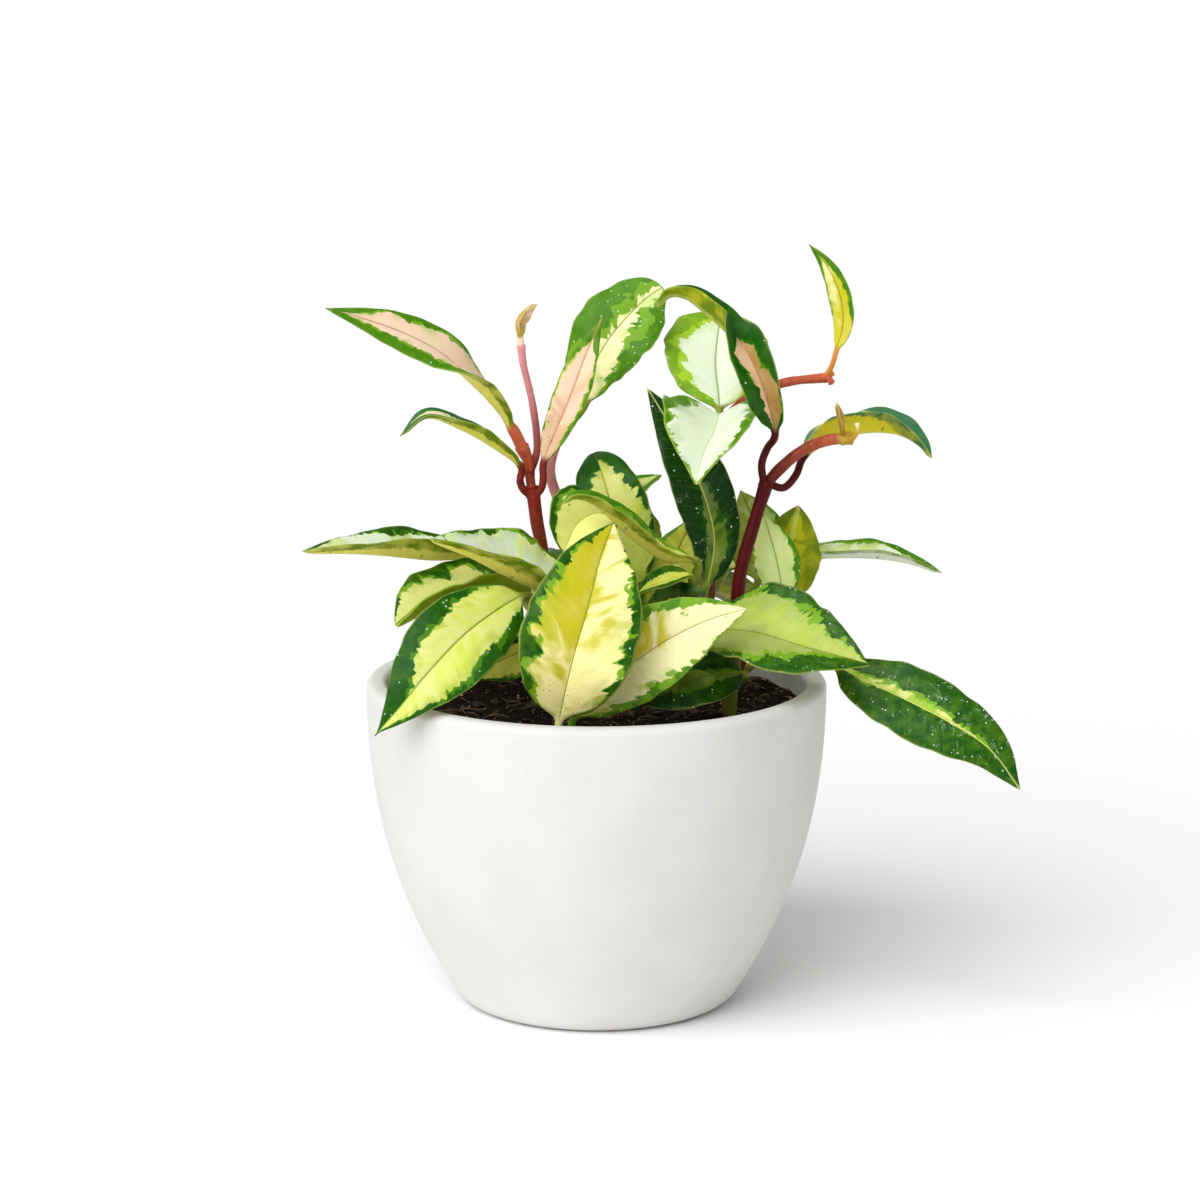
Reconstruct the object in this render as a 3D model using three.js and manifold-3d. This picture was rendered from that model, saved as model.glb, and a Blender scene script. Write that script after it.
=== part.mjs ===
// A potted variegated wax plant: a white ceramic pot with a tapering wall, potting mix, red stems and
// thick keeled leaves. Millimetres, +Z up, origin at the centre of the pot's flat base, front towards -Y.
import * as THREE from "three";
import { mergeVertices } from "three/addons/utils/BufferGeometryUtils.js";
import Module from "manifold-3d";

const wasm = await Module();
wasm.setup();

// Pot: its wall runs from the foot to the rim by one power curve.
const POT_RADIUS = 70;
const POT_HEIGHT = 100;
const POT_TAPER = 28.4;
const POT_TAPER_POWER = 2.3;
const POT_FOOT_RADIUS = 37;
const POT_FOOT_ROUND = 3.6;
const POT_CORNER_HEIGHT = 4.5;
const POT_WALL = 6.4;
const POT_FLOOR = 8;
const POT_LIP_ROUND = 2.4;
const POT_SEGMENTS = 48;
const POT_WALL_STEPS = 7;
const POT_INNER_STEPS = 4;

// Potting mix: it fills the pot to a crumbled surface below the rim.
const SOIL_TOP = 91;
const SOIL_RELIEF = 1.1;
const SOIL_RINGS = 8;
const SOIL_SEGMENTS = 36;
const SOIL_SEED = 11;

// Gap between a piece and what it is seated on.
const CLEARANCE = 0.3;

const STEM_SIDES = 8;
const STEM_STEP = 8;
const JOINT_SWELLING = 0.35;
const JOINT_SHARPNESS = 12;

const BLADE_STEP = 6.5;
const STALK_STEP = 6;
const LENGTH_SAMPLES = 40;
const RING_ACROSS = 5;
const BLADE_MID_THICKNESS = 1.5;
const BLADE_EDGE_THICKNESS = 0.8;
const STALK_RADIUS = 1.15;
const TIP_HALF_WIDTH = 0.5;
const BLADE_WIDEST_AT = 0.44;
const BASE_ROUNDNESS = 0.62;
const TIP_ROUNDNESS = 0.95;
const BASE_SHARE = 0.1;
const EDGE_DROOP = 0.06;
const WAVE_HEIGHT = 0.07;
const WAVES = 2.2;

const FINISHES = {
  ceramic: { color: 0xf2f1ee, roughness: 0.55, metalness: 0 },
  mix: { color: 0x2a1d14, roughness: 0.95, metalness: 0 },
  stem: { color: 0x8a2f34, roughness: 0.5, metalness: 0 },
  green: { color: 0x2f6b2a, roughness: 0.4, metalness: 0 },
  cream: { color: 0xdfe08a, roughness: 0.4, metalness: 0 },
  mint: { color: 0xd5e6c8, roughness: 0.4, metalness: 0 },
  blush: { color: 0xe2b8a0, roughness: 0.4, metalness: 0 },
  ochre: { color: 0xc9a13c, roughness: 0.4, metalness: 0 },
};

// Stems: each is one shoot made of runs that join, with its radius at both ends of a run.
const STEMS = {
  stem_left: [
    {
      route: [[-14, 4, 75], [-14, 4, 92], [-16, 3, 117], [-16, 2, 136], [-18, 0, 148], [-19, 0, 156]],
      radii: [2.1, 1.8],
    },
    { route: [[-19, 0, 155], [-20, 1, 161], [-20.5, 1, 166], [-22.5, 0, 171]], radii: [1.2, 1.95] },
    {
      route: [[-20, 1, 163], [-18, 3.5, 169], [-19.2, 4, 183], [-22.1, 4, 196], [-22.6, 4, 201]],
      radii: [1.2, 1],
    },
  ],
  stem_left_back: [
    {
      route: [
        [-4, 20, 75], [-4, 19, 92], [-5, 17, 122], [-9.6, 15, 146], [-14.2, 13, 161.5],
        [-12, 14, 172],
      ],
      radii: [2, 1.5],
    },
  ],
  stem_middle: [
    {
      route: [[30, 20, 75], [31, 20, 92], [35, 18, 124], [35, 15, 150], [36, 13, 168], [38, 12, 178.5]],
      radii: [2, 1.5],
    },
    { route: [[38, 12, 176], [46, 13, 183.9], [57, 15, 188.2], [70, 16, 189.7]], radii: [1.5, 1.3] },
  ],
  stem_right: [
    {
      route: [[40, -14, 75], [40, -14, 92], [42, -12, 114], [43, -10, 133], [47, -8, 148], [51, -6, 161]],
      radii: [2.15, 1.9],
    },
    {
      route: [[50.5, -6, 160], [54.6, -5.5, 164.7], [61.6, -4, 170.3], [69, -2, 173.1], [76, -2, 173.9]],
      radii: [1.7, 1.7],
    },
  ],
  stem_low_left: [
    { route: [[-11, -12, 75], [-11, -12, 92], [-14, -13, 110], [-16, -12, 127]], radii: [1.9, 1.4] },
  ],
  stem_low_middle: [
    { route: [[8, 0, 75], [8, 0, 92], [9, 0, 108], [10, 0, 124]], radii: [1.9, 1.4] },
  ],
  stem_low_front: [
    { route: [[22, -4, 75], [22, -4, 92], [24, -5, 110], [26, -7, 127]], radii: [1.9, 1.4] },
  ],
  stem_low_right: [
    { route: [[42, 14, 75], [42, 14, 92], [46, 12.5, 105], [53, 10, 116]], radii: [1.8, 1.4] },
  ],
  stem_back: [
    { route: [[8, 40, 75], [8, 40, 92], [8, 38, 106], [6, 36, 120]], radii: [1.9, 1.4] },
  ],
};

// Leaves: the stem that carries each (none where its stalk comes out of the potting mix), the stalk's
// route from that stem's centreline, the midrib's route from the blade's base to its tip, which way its
// upper side faces along the midrib, the blade's full width laid flat, and how far its halves are
// raised about the midrib, in degrees, along the blade. Where given, widest is the share of the blade
// at which it is broadest, and tip how drawn out its end is.
const LEAVES = {
  leaf_front_centre: {
    stalk: [[-13, -42, 78]],
    rib: [[-11, -46, 96], [-6.5, -50, 117.5], [-2.5, -46, 130.5], [1, -39, 143.5], [5, -30, 153]],
    face: [[0.05, -1, 0.3]], width: 35, fold: [12], finish: "cream",
  },
  leaf_front_right: {
    stalk: [[-7, -36, 78]],
    rib: [[-7, -39, 95], [3, -36, 106], [18.5, -36, 117.5], [32, -40, 125.5], [44, -46, 130.5]],
    face: [[-0.2, -1, 0.3]], width: 26, fold: [12], finish: "cream",
  },
  leaf_front_left: {
    on: "stem_low_left", stalk: [[-15.5, -12.3, 121], [-18, -20, 127]],
    rib: [
      [-21, -26, 130.4], [-36.4, -38, 122.9], [-49.2, -48, 112.5], [-58, -52, 103.6],
      [-64.5, -50, 93.5],
    ],
    face: [[-0.25, -1, 0.25]], width: 27.4, fold: [8], widest: 0.44, finish: "cream",
  },
  leaf_left_low: {
    on: "stem_low_left", stalk: [[-15, -12.5, 116], [-18, -7, 120]],
    rib: [
      [-19.5, -4, 124.5], [-27.8, -9.5, 127.8], [-39.6, -16, 128.2], [-50.4, -23, 125.6],
      [-59.3, -29, 122],
    ],
    face: [[0, -0.09, 1]], width: 28, fold: [44], widest: 0.58, tip: 0.7, finish: "cream",
  },
  leaf_left: {
    on: "stem_low_middle", stalk: [[9.5, 0, 116], [4, -7, 122.5]],
    rib: [
      [-2.5, -12, 127], [-11, -16, 129], [-18, -20, 131.9], [-27, -24, 136.8], [-37, -30, 143.4],
      [-48.5, -36, 149.3],
    ],
    face: [[0, -0.34, 0.94]], width: 32, fold: [43], widest: 0.36, finish: "cream",
  },
  leaf_far_left: {
    on: "stem_left", stalk: [[-16, 2.7, 124], [-21, 3, 130]],
    rib: [
      [-29, 1.5, 134.5], [-38, -2.5, 137.5], [-49.5, -8, 138.5], [-57, -12, 140],
      [-63, -16.5, 141.5], [-74, -24, 143.5], [-86.5, -30, 144.5],
    ],
    face: [[0, -0.14, 1]], width: 20, fold: [49, 45, 35], finish: "cream",
  },
  leaf_low_left: {
    on: "stem_low_left", stalk: [[-13.5, -12.9, 107]],
    rib: [[-19, -17, 112], [-25, -20.5, 111], [-31, -23, 108.5], [-37, -26, 105]],
    face: [[-0.1, -0.9, 0.5]], width: 15, fold: [8], finish: "green",
  },
  leaf_low_right: {
    on: "stem_right", stalk: [[41, -13, 102], [43.5, -17, 103]],
    rib: [[44.5, -20, 105], [37, -24, 106], [26, -27, 104.5], [15, -30, 103], [4, -31, 101.5]],
    face: [[0.1, -0.75, 0.75]], width: 21, fold: [10], finish: "green",
  },
  leaf_right: {
    on: "stem_low_front", stalk: [[24.8, -6, 116], [27.5, -11, 117.5]],
    rib: [[32.5, -16, 118], [47, -26, 119], [62, -34, 116.1], [80, -40, 112.4]],
    face: [[-0.05, -0.66, 0.75]], width: 34, fold: [23], finish: "cream",
  },
  leaf_far_right: {
    on: "stem_right", stalk: [[41.8, -12.2, 110], [56, -12, 111.5]],
    rib: [
      [70.3, -16, 107.6], [81.2, -22, 103.2], [93, -27, 98.4], [104.6, -31, 93], [116.4, -33, 85.4],
      [125.8, -34, 73.2],
    ],
    face: [[-0.2, -0.8, 0.6]], width: 22.4, fold: [6], finish: "green",
  },
  leaf_centre_upright: {
    on: "stem_low_middle", stalk: [[10, 0, 120], [9, 5, 118]],
    rib: [[7.5, 8, 122], [7.5, 8, 134.5], [5.3, 7, 148], [3, 8, 157], [0.8, 12, 163.2], [-0.8, 18, 166]],
    face: [[0, -1, 0.25]], width: 24, fold: [8], tip: 0.55, finish: "green",
  },
  leaf_centre_left: {
    on: "stem_low_middle", stalk: [[10, 0, 122.5], [8, -2, 134], [5.5, -3.5, 143]],
    rib: [[1.7, -5, 150.5], [-2.2, -11, 151.5], [-6.4, -17.5, 149.3], [-9.6, -24.5, 143]],
    face: [[0.35, -0.45, 0.8]], width: 24, fold: [30], tip: 0.55, finish: "cream",
  },
  leaf_centre_arch: {
    on: "stem_low_front", stalk: [[26, -7, 125.8], [30, -10, 132]],
    rib: [
      [30, -13, 138.5], [21.5, -17, 139.5], [13.5, -20, 145], [7, -22, 151], [1.5, -23.5, 156.5],
      [-2, -25, 159], [-6.5, -26, 160], [-10.5, -27, 158],
    ],
    face: [
      [0.4, -0.1, 1], [0.5, -0.1, 0.8], [0.3, -0.2, 1], [-0.1, -0.3, 1],
    ],
    width: 13, fold: [50], finish: "cream",
  },
  leaf_centre_low: {
    on: "stem_low_front", stalk: [[25.6, -6.8, 123], [28, -13, 129]],
    rib: [[28, -17, 134.5], [22.5, -20.5, 134], [16.5, -23.5, 132.5], [11, -26.5, 130.5]],
    face: [[0.1, -0.5, 0.87]], width: 10, fold: [35], finish: "green",
  },
  leaf_centre_dark: {
    on: "stem_low_front", stalk: [[23.4, -4.6, 106], [19.5, -9, 114.5]],
    rib: [[16, -11, 120], [21, -14.5, 124.6], [27, -18, 128.2], [33, -19, 130.5]],
    face: [[0, -0.9, 0.5]], width: 14, fold: [12], finish: "green",
  },
  leaf_tall: {
    on: "stem_middle", stalk: [[33.3, 18.8, 110], [33, 9, 117], [32.5, 2, 122]],
    rib: [
      [33, 0, 127], [34.9, 1, 135], [35.6, 2, 142.5], [34.4, 3, 149.5], [31, 4, 159.5], [27.2, 5, 167.5],
      [21.5, 7, 177.5], [15.3, 9, 187.5],
    ],
    face: [[0.1, -1, 0.1]], width: 18.6, fold: [14], finish: "green",
  },
  leaf_white_up: {
    on: "stem_middle", stalk: [[38, 12, 176]],
    rib: [[37.5, 15, 179.5], [37.3, 19, 184], [36.5, 25, 192], [37.3, 33, 199.5], [38.7, 40, 206.3]],
    face: [[0, -0.8, 0.6]], width: 33, fold: [12], widest: 0.62, tip: 0.5, finish: "mint",
  },
  leaf_white_down: {
    on: "stem_middle", stalk: [[38, 12, 176]],
    rib: [[37.3, 8.5, 179], [35.5, -4, 176], [32, -18, 171.8], [29.2, -33, 165]],
    face: [[0, -0.3, 1]], width: 39.4, fold: [38], widest: 0.3, finish: "mint",
  },
  leaf_arching: {
    on: "stem_right", stalk: [[50.3, -6, 160], [49.4, -8, 167], [51, -9.5, 172]],
    rib: [
      [53, -14, 176.5], [49.5, -20, 190.6], [46.5, -19, 197.8], [43, -15.5, 203.2],
      [38, -9, 208], [32.3, -5, 212.7], [26.7, -2, 216.5], [21.9, 0, 216.7], [18, 1, 213],
    ],
    face: [[-0.2, -1, 0.1], [-0.3, -1, 0.2], [-0.1, -0.9, 0.5], [0.5, 0, 0.85], [0.3, 0, 1], [-0.2, 0, 1]],
    width: 16.2, fold: [30, 38, 45, 50, 50], tip: 0.7, finish: "green",
  },
  leaf_right_drooping: {
    on: "stem_right", stalk: [[51, -6, 161], [56.2, -3.5, 159], [60, -1, 162.4]],
    rib: [
      [62.5, 3, 167.2], [69, 7, 171.3], [77, 9, 173.8], [85.5, 10, 174.6], [92.5, 9, 173.7],
      [97.9, 6, 170.9], [101.2, 3, 167],
    ],
    face: [
      [-0.2, 0.3, 1], [0, 0.3, 1], [0.2, -0.1, 1], [0.6, -0.4, 0.8],
    ],
    width: 18, fold: [48], finish: "green",
  },
  leaf_top_right: {
    on: "stem_middle", stalk: [[69.5, 16, 189.6], [71.5, 14, 193.8]],
    rib: [
      [72.5, 12.5, 198], [74.5, 12, 204.5], [74.5, 12, 211.5], [72.5, 12, 218.5], [69, 12, 225],
      [64, 12, 230.5],
    ],
    face: [[-0.5, -1, 0.2]], width: 7.8, fold: [15], stalkRadius: 0.8, finish: "cream",
  },
  leaf_bud_right: {
    on: "stem_right", stalk: [[74, -2, 173.8]],
    rib: [[73.6, -4.5, 176.5], [72.8, -5, 180.2], [71.8, -4, 184.8]],
    face: [[1, -0.4, 0.2]], width: 4, fold: [25], stalkRadius: 0.8, finish: "ochre",
  },
  leaf_bud_left: {
    on: "stem_left", stalk: [[-22.6, 4, 199.5]],
    rib: [[-22.8, 4, 203], [-23.4, 4, 208], [-21.3, 3.5, 211.1], [-17.8, 3, 213.6]],
    face: [[1, -0.6, 0.2]], width: 6, fold: [35], stalkRadius: 1, finish: "ochre",
  },
  leaf_top_middle: {
    on: "stem_left_back", stalk: [[-12, 14, 171.5], [-7.5, 16, 176]],
    rib: [
      [-3.5, 18, 181], [-1.2, 20, 191], [3.4, 22, 199.8], [11.6, 25, 209.2], [15.9, 27, 212.9],
      [20.3, 28, 215.8],
    ],
    face: [[-0.35, -0.9, 0.2]], width: 25.6, fold: [8], widest: 0.58, tip: 0.55, finish: "cream",
  },
  leaf_blush: {
    on: "stem_left", stalk: [[-19, 0, 155.5], [-16.5, -0.5, 158.5], [-16, -0.5, 162]],
    rib: [[-16, 0, 165.5], [-9.5, 1, 181.5], [-6.5, 2, 189], [-3.5, 4, 197], [-1, 5, 203], [1.5, 6, 209]],
    face: [[-0.2, -1, 0.1]], width: 11, fold: [14], widest: 0.5, finish: "blush",
  },
  leaf_upper_left: {
    on: "stem_left", stalk: [[-22.3, 0, 170.5]],
    rib: [
      [-24.5, -2, 175.5], [-28.2, -4, 181.6], [-33, -7, 187.8], [-38.6, -10, 193.7],
      [-46.6, -13, 201.1], [-57, -16, 207.2], [-68, -18, 211.5], [-79.3, -20, 215],
    ],
    face: [[0.7, 0.3, 0.6], [0.5, 0.1, 0.8], [0.1, -0.7, 0.7], [-0.1, -1, 0.4], [-0.1, -1, 0.4]],
    width: 15.2, fold: [40, 36, 18, 12, 12], stalkRadius: 1.8, finish: "blush",
  },
  leaf_left_drooping: {
    on: "stem_left", stalk: [[-19, 0, 155.5], [-22, -1, 158], [-23, -2, 161]],
    rib: [[-22.5, -3, 165], [-29.5, -6, 171.5], [-41, -10, 178.8], [-50.5, -12, 182], [-58.2, -14, 176.3]],
    face: [[0.2, 0.1, 1], [0.1, 0, 1], [-0.4, -0.7, 0.8]], width: 9, fold: [42, 40, 20], finish: "blush",
  },
  leaf_right_back: {
    on: "stem_low_right", stalk: [[49.5, 11.3, 110.5], [53, 17, 121]],
    rib: [[59.5, 18, 132.5], [68, 19, 133.8], [83.5, 20, 133.9], [96, 21, 132.1], [106.7, 22, 128.1]],
    face: [[0, -0.2, 1]], width: 12.6, fold: [38], finish: "green",
  },
  leaf_right_upright: {
    on: "stem_low_right", stalk: [[52.9, 10, 115.5], [57, 8.5, 117.5]],
    rib: [[60, 8, 122.5], [58.7, 9, 135], [61.6, 12, 150.8]],
    face: [[0.2, 1, 0.2]], width: 20, fold: [14], tip: 0.75, finish: "green",
  },
  leaf_right_cream: {
    on: "stem_low_right", stalk: [[50, 11.1, 111.3], [56, 5, 115.5]],
    rib: [[56.5, 0, 123], [54.5, 1, 136], [50.5, 6, 149.5]],
    face: [[0.1, -1, 0.2]], width: 14.5, fold: [8], finish: "cream",
  },
  leaf_right_pale: {
    on: "stem_middle", stalk: [[34, 18.4, 116], [43, 18, 121]],
    rib: [[49.5, 18, 125.5], [49, 18, 141.5], [44.3, 21, 154]],
    face: [[0, -1, 0.2]], width: 19, fold: [10], finish: "cream",
  },
  leaf_small_behind: {
    on: "stem_middle", stalk: [[32, 19.5, 100], [25, 16, 105]],
    rib: [[20.7, 14, 111], [22.2, 14, 129], [30, 15, 147]],
    face: [[0, -1, 0.2]], width: 18, fold: [10], finish: "green",
  },
  leaf_behind_tip: {
    on: "stem_left_back", stalk: [[-6.7, 16, 132], [-3, 20, 139]],
    rib: [[0, 21, 144], [10, 24, 152], [20, 26, 158]],
    face: [[0, -0.4, 1]], width: 14, fold: [25], finish: "green",
  },
  leaf_back_left: {
    on: "stem_left_back", stalk: [[-4.6, 18, 106], [-8, 21, 111]],
    rib: [[-13, 24, 114], [-27, 34, 119], [-41, 43, 117], [-53, 50, 108]],
    face: [[0, 0.2, 1]], width: 27, fold: [15], finish: "green",
  },
  leaf_back_low_left: {
    on: "stem_left", stalk: [[-15, 3.5, 104], [-20, 8, 106]],
    rib: [[-25, 10, 107], [-37, 14, 109], [-48, 20, 108], [-58, 25, 104]],
    face: [[0, 0.1, 1]], width: 24, fold: [15], finish: "cream",
  },
  leaf_back_hanging: {
    on: "stem_back", stalk: [[8, 38.7, 101], [2, 44, 106]],
    rib: [[-2, 50, 110], [-8, 62, 113], [-13, 74, 108], [-16, 84, 96]],
    face: [[-0.2, 0.6, 0.8]], width: 28, fold: [12], finish: "cream",
  },
  leaf_back_right: {
    on: "stem_back", stalk: [[7.7, 37.7, 108], [14, 42, 112]],
    rib: [[20, 45, 114], [32, 54, 117], [43, 64, 113], [50, 74, 104]],
    face: [[0.1, 0.5, 0.9]], width: 28, fold: [12], finish: "green",
  },
  leaf_back_upright: {
    on: "stem_back", stalk: [[6.2, 36.2, 118.5], [7, 36, 122]],
    rib: [[8, 36, 126], [8, 38, 138], [6, 43, 150]],
    face: [[0, 1, 0.3]], width: 25, fold: [12], finish: "cream",
  },
  leaf_back_far_right: {
    on: "stem_low_right", stalk: [[46.5, 12.4, 105.5], [50, 20, 109]],
    rib: [[56, 26, 110], [61, 38, 112], [64, 50, 108], [65, 60, 101]],
    face: [[0.5, 0.3, 0.8]], width: 24, fold: [12], finish: "cream",
  },
  leaf_back_low_right: {
    on: "stem_back", stalk: [[8, 40, 95], [13, 44, 98]],
    rib: [[17, 46, 101], [25, 53, 105], [33, 62, 104.5], [39, 72, 96]],
    face: [[0.2, 0.5, 0.9]], width: 22, fold: [12], finish: "green",
  },
  leaf_back_hanging_left: {
    on: "stem_left_back", stalk: [[-4, 19, 95], [-10, 24, 98]],
    rib: [[-15, 28, 101], [-28, 39, 106], [-41, 51, 106.5], [-51, 61, 97]],
    face: [[-0.3, 0.5, 0.9]], width: 27, fold: [12], finish: "cream",
  },
  leaf_back_side_right: {
    on: "stem_low_right", stalk: [[42, 14, 96], [47, 17, 99]],
    rib: [[51, 19, 102], [61, 22, 106], [71, 25, 105], [80, 28, 96]],
    face: [[0.3, 0.2, 0.9]], width: 20, fold: [12], finish: "green",
  },
  leaf_back_mid_left: {
    on: "stem_left_back", stalk: [[-5.2, 17, 124], [-10, 24, 127]],
    rib: [[-13, 28, 128], [-20, 38, 130], [-26, 50, 127], [-30, 60, 119]],
    face: [[-0.2, 0.5, 0.9]], width: 24, fold: [14], finish: "green",
  },
  leaf_back_mid_right: {
    on: "stem_middle", stalk: [[34.6, 18.1, 121], [38, 24, 125]],
    rib: [[40, 29, 127], [45, 38, 131], [49, 48, 130], [52, 58, 122]],
    face: [[0.3, 0.5, 0.9]], width: 24, fold: [14], finish: "cream",
  },
};

// A mesh from vertices and faces, which list three indices each.
function geometryOf(vertices, faces) {
  return new THREE.BufferGeometry()
    .setAttribute("position", new THREE.Float32BufferAttribute(vertices, 3))
    .setIndex(faces);
}

// A closed three.js geometry as a solid, for joins and cuts.
function solidOf(geometry) {
  const bare = geometry.clone().deleteAttribute("normal").deleteAttribute("uv");
  const merged = mergeVertices(bare, 1e-4);
  return new wasm.Manifold(
    new wasm.Mesh({
      numProp: 3,
      vertProperties: merged.attributes.position.array,
      triVerts: new Uint32Array(merged.index.array),
    }),
  );
}

// A solid as a three.js geometry with flat-shaded faces.
function geometryOfSolid(solid) {
  const { vertProperties, triVerts } = solid.getMesh();
  return geometryOf(Array.from(vertProperties), Array.from(triVerts));
}

// The largest piece of a solid, without the scraps that a cut may leave.
function largestPiece(solid) {
  return solid.decompose().reduce((most, piece) => (piece.volume() > most.volume() ? piece : most));
}

// A closed skin over rings of points that all have the same count and turn the same way. Quads from the
// mirrored side on are split along their other diagonal, so both faces of a blade have like triangles.
function skinOf(rings, mirrored = Infinity) {
  const around = rings[0].length;
  const vertices = rings.flat().flatMap((point) => point.toArray());
  const faces = [];
  for (let ring = 0; ring < rings.length - 1; ring += 1) {
    for (let side = 0; side < around; side += 1) {
      const next = (side + 1) % around;
      const [a, b] = [ring * around + side, ring * around + next];
      const [c, d] = [b + around, a + around];
      faces.push(...(side < mirrored ? [a, b, c, a, c, d] : [a, b, d, b, c, d]));
    }
  }
  for (const [ring, reversed] of [[0, true], [rings.length - 1, false]]) {
    const start = ring * around;
    for (let side = 1; side < around - 1; side += 1) {
      const corners = [start, start + side, start + side + 1];
      faces.push(...(reversed ? corners.reverse() : corners));
    }
  }
  return geometryOf(vertices, faces);
}

// A value that runs evenly through a list of values as share goes from 0 to 1.
function along(values, share) {
  if (values.length === 1) return values[0];
  const place = Math.min(share, 0.999999) * (values.length - 1);
  const index = Math.floor(place);
  return THREE.MathUtils.lerp(values[index], values[index + 1], place - index);
}

function vectorAlong(vectors, share) {
  return new THREE.Vector3(...[0, 1, 2].map((axis) => along(vectors.map((v) => v[axis]), share)));
}

function curveThrough(points) {
  return new THREE.CatmullRomCurve3(points.map((p) => new THREE.Vector3(...p)), false, "centripetal");
}

// A round tube along a route, with its radius running between its ends and a swelling at its last joint.
function tube({ route, radii }, extra = 0) {
  const curve = curveThrough(route);
  const steps = Math.max(3, Math.round(curve.getLength() / STEM_STEP));
  const frames = curve.computeFrenetFrames(steps, false);
  const rings = Array.from({ length: steps + 1 }, (_, step) => {
    const share = step / steps;
    const swelling = JOINT_SWELLING * share ** JOINT_SHARPNESS;
    const radius = along(radii, share) + swelling + extra;
    const centre = curve.getPointAt(share);
    return Array.from({ length: STEM_SIDES }, (_, side) => {
      const angle = (2 * Math.PI * side) / STEM_SIDES;
      return centre.clone()
        .addScaledVector(frames.normals[step], radius * Math.cos(angle))
        .addScaledVector(frames.binormals[step], radius * Math.sin(angle));
    });
  });
  return solidOf(skinOf(rings));
}

function stemSolid(runs, extra = 0) {
  return runs.map((run) => tube(run, extra)).reduce((whole, run) => whole.add(run));
}

// Half the blade's width at a share of its length, as a part of its widest half: round at the base,
// drawn out to a point at the tip.
function outline(share, { widest = BLADE_WIDEST_AT, tip = TIP_ROUNDNESS }) {
  const rising = share < widest;
  const reach = rising ? share / widest : (1 - share) / (1 - widest);
  return Math.sin((Math.PI / 2) * reach) ** (rising ? BASE_ROUNDNESS : tip);
}

// One ring of a leaf, from a round stalk where blade is 0 to a thin keeled blade where it is 1.
function leafRing(centre, side, face, { radius, half, fold, blade, wave }) {
  const across = Array.from({ length: RING_ACROSS }, (_, i) => (2 * i) / (RING_ACROSS - 1) - 1);
  const point = (place, upper) => {
    const turn = ((1 - place) / 2) * 0.8 * Math.PI + 0.1 * Math.PI;
    const roundX = radius * Math.cos(turn);
    const roundZ = radius * Math.sin(turn) * upper;
    const reach = Math.abs(place);
    const thick = THREE.MathUtils.lerp(BLADE_MID_THICKNESS, BLADE_EDGE_THICKNESS, reach) / 2;
    const lift = reach * half * Math.sin(fold) + half * reach * reach * (wave - EDGE_DROOP);
    const bladeX = place * half * Math.cos(fold) - Math.sign(place) * Math.sin(fold) * thick * upper;
    const bladeZ = lift + thick * upper * (place === 0 ? 1 / Math.cos(fold) : Math.cos(fold));
    return centre.clone()
      .addScaledVector(side, THREE.MathUtils.lerp(roundX, bladeX, blade))
      .addScaledVector(face, THREE.MathUtils.lerp(roundZ, bladeZ, blade));
  };
  return [
    ...across.map((place) => point(place, 1)),
    ...across.toReversed().map((place) => point(place, -1)),
  ];
}

// A leaf's stalk and blade in one skin, along one smooth route.
function leafSkin(leaf, extra = 0) {
  const { stalk, rib, face, width, fold, stalkRadius = STALK_RADIUS } = leaf;
  const route = [...stalk, ...rib];
  const curve = curveThrough(route);
  const samples = LENGTH_SAMPLES * (route.length - 1);
  const lengths = curve.getLengths(samples);
  const bladeStart = lengths[LENGTH_SAMPLES * stalk.length] / lengths[samples];
  const stalkSteps = Math.max(2, Math.round((bladeStart * lengths[samples]) / STALK_STEP));
  const bladeSteps = Math.round(((1 - bladeStart) * lengths[samples]) / BLADE_STEP);
  const shares = [
    ...evenly(0, bladeStart, stalkSteps).slice(0, -1),
    ...evenly(bladeStart, 1, bladeSteps),
  ];
  const rings = shares.map((share) => {
    const bladeShare = Math.max(0, (share - bladeStart) / (1 - bladeStart));
    const blade = THREE.MathUtils.smoothstep(bladeShare, 0, BASE_SHARE);
    const tangent = curve.getTangentAt(share);
    const facing = vectorAlong(face, bladeShare);
    facing.addScaledVector(tangent, -facing.dot(tangent)).normalize();
    const side = tangent.clone().cross(facing);
    return leafRing(curve.getPointAt(share), side, facing, {
      radius: stalkRadius + extra,
      half: Math.max(TIP_HALF_WIDTH, (width / 2) * outline(bladeShare, leaf)),
      fold: THREE.MathUtils.degToRad(along(fold, bladeShare)),
      blade,
      wave: WAVE_HEIGHT * Math.sin(2 * Math.PI * WAVES * bladeShare + width),
    });
  });
  return { skin: skinOf(rings, RING_ACROSS), stalkRings: rings.slice(0, stalkSteps + 1) };
}

// The pot's outer radius at a height, and the inner one.
function wallRadius(height) {
  return POT_RADIUS - POT_TAPER * (1 - height / POT_HEIGHT) ** POT_TAPER_POWER;
}

function innerRadius(height) {
  return wallRadius(height) - POT_WALL;
}

// Heights at which the inner wall has its corners: the potting mix takes the same ones, so that the gap
// between them is even.
const INNER_HEIGHTS = [...evenly(POT_FLOOR, SOIL_TOP, POT_INNER_STEPS), POT_HEIGHT - POT_LIP_ROUND];

// Turns a profile of [radius, height] points about the vertical axis.
function turned(profile, segments) {
  const points = profile.map(([radius, height]) => new THREE.Vector2(radius, height));
  return new THREE.LatheGeometry(points, segments).rotateX(Math.PI / 2);
}

function evenly(from, to, steps) {
  return Array.from({ length: steps + 1 }, (_, i) => THREE.MathUtils.lerp(from, to, i / steps));
}

// Corners of the rim's rounding about a centre at a radius.
function lipRound(radius, startAngle, endAngle) {
  return evenly(startAngle, endAngle, 3).map((angle) => [
    radius + POT_LIP_ROUND * Math.cos(angle),
    POT_HEIGHT - POT_LIP_ROUND * (1 - Math.sin(angle)),
  ]);
}

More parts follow.
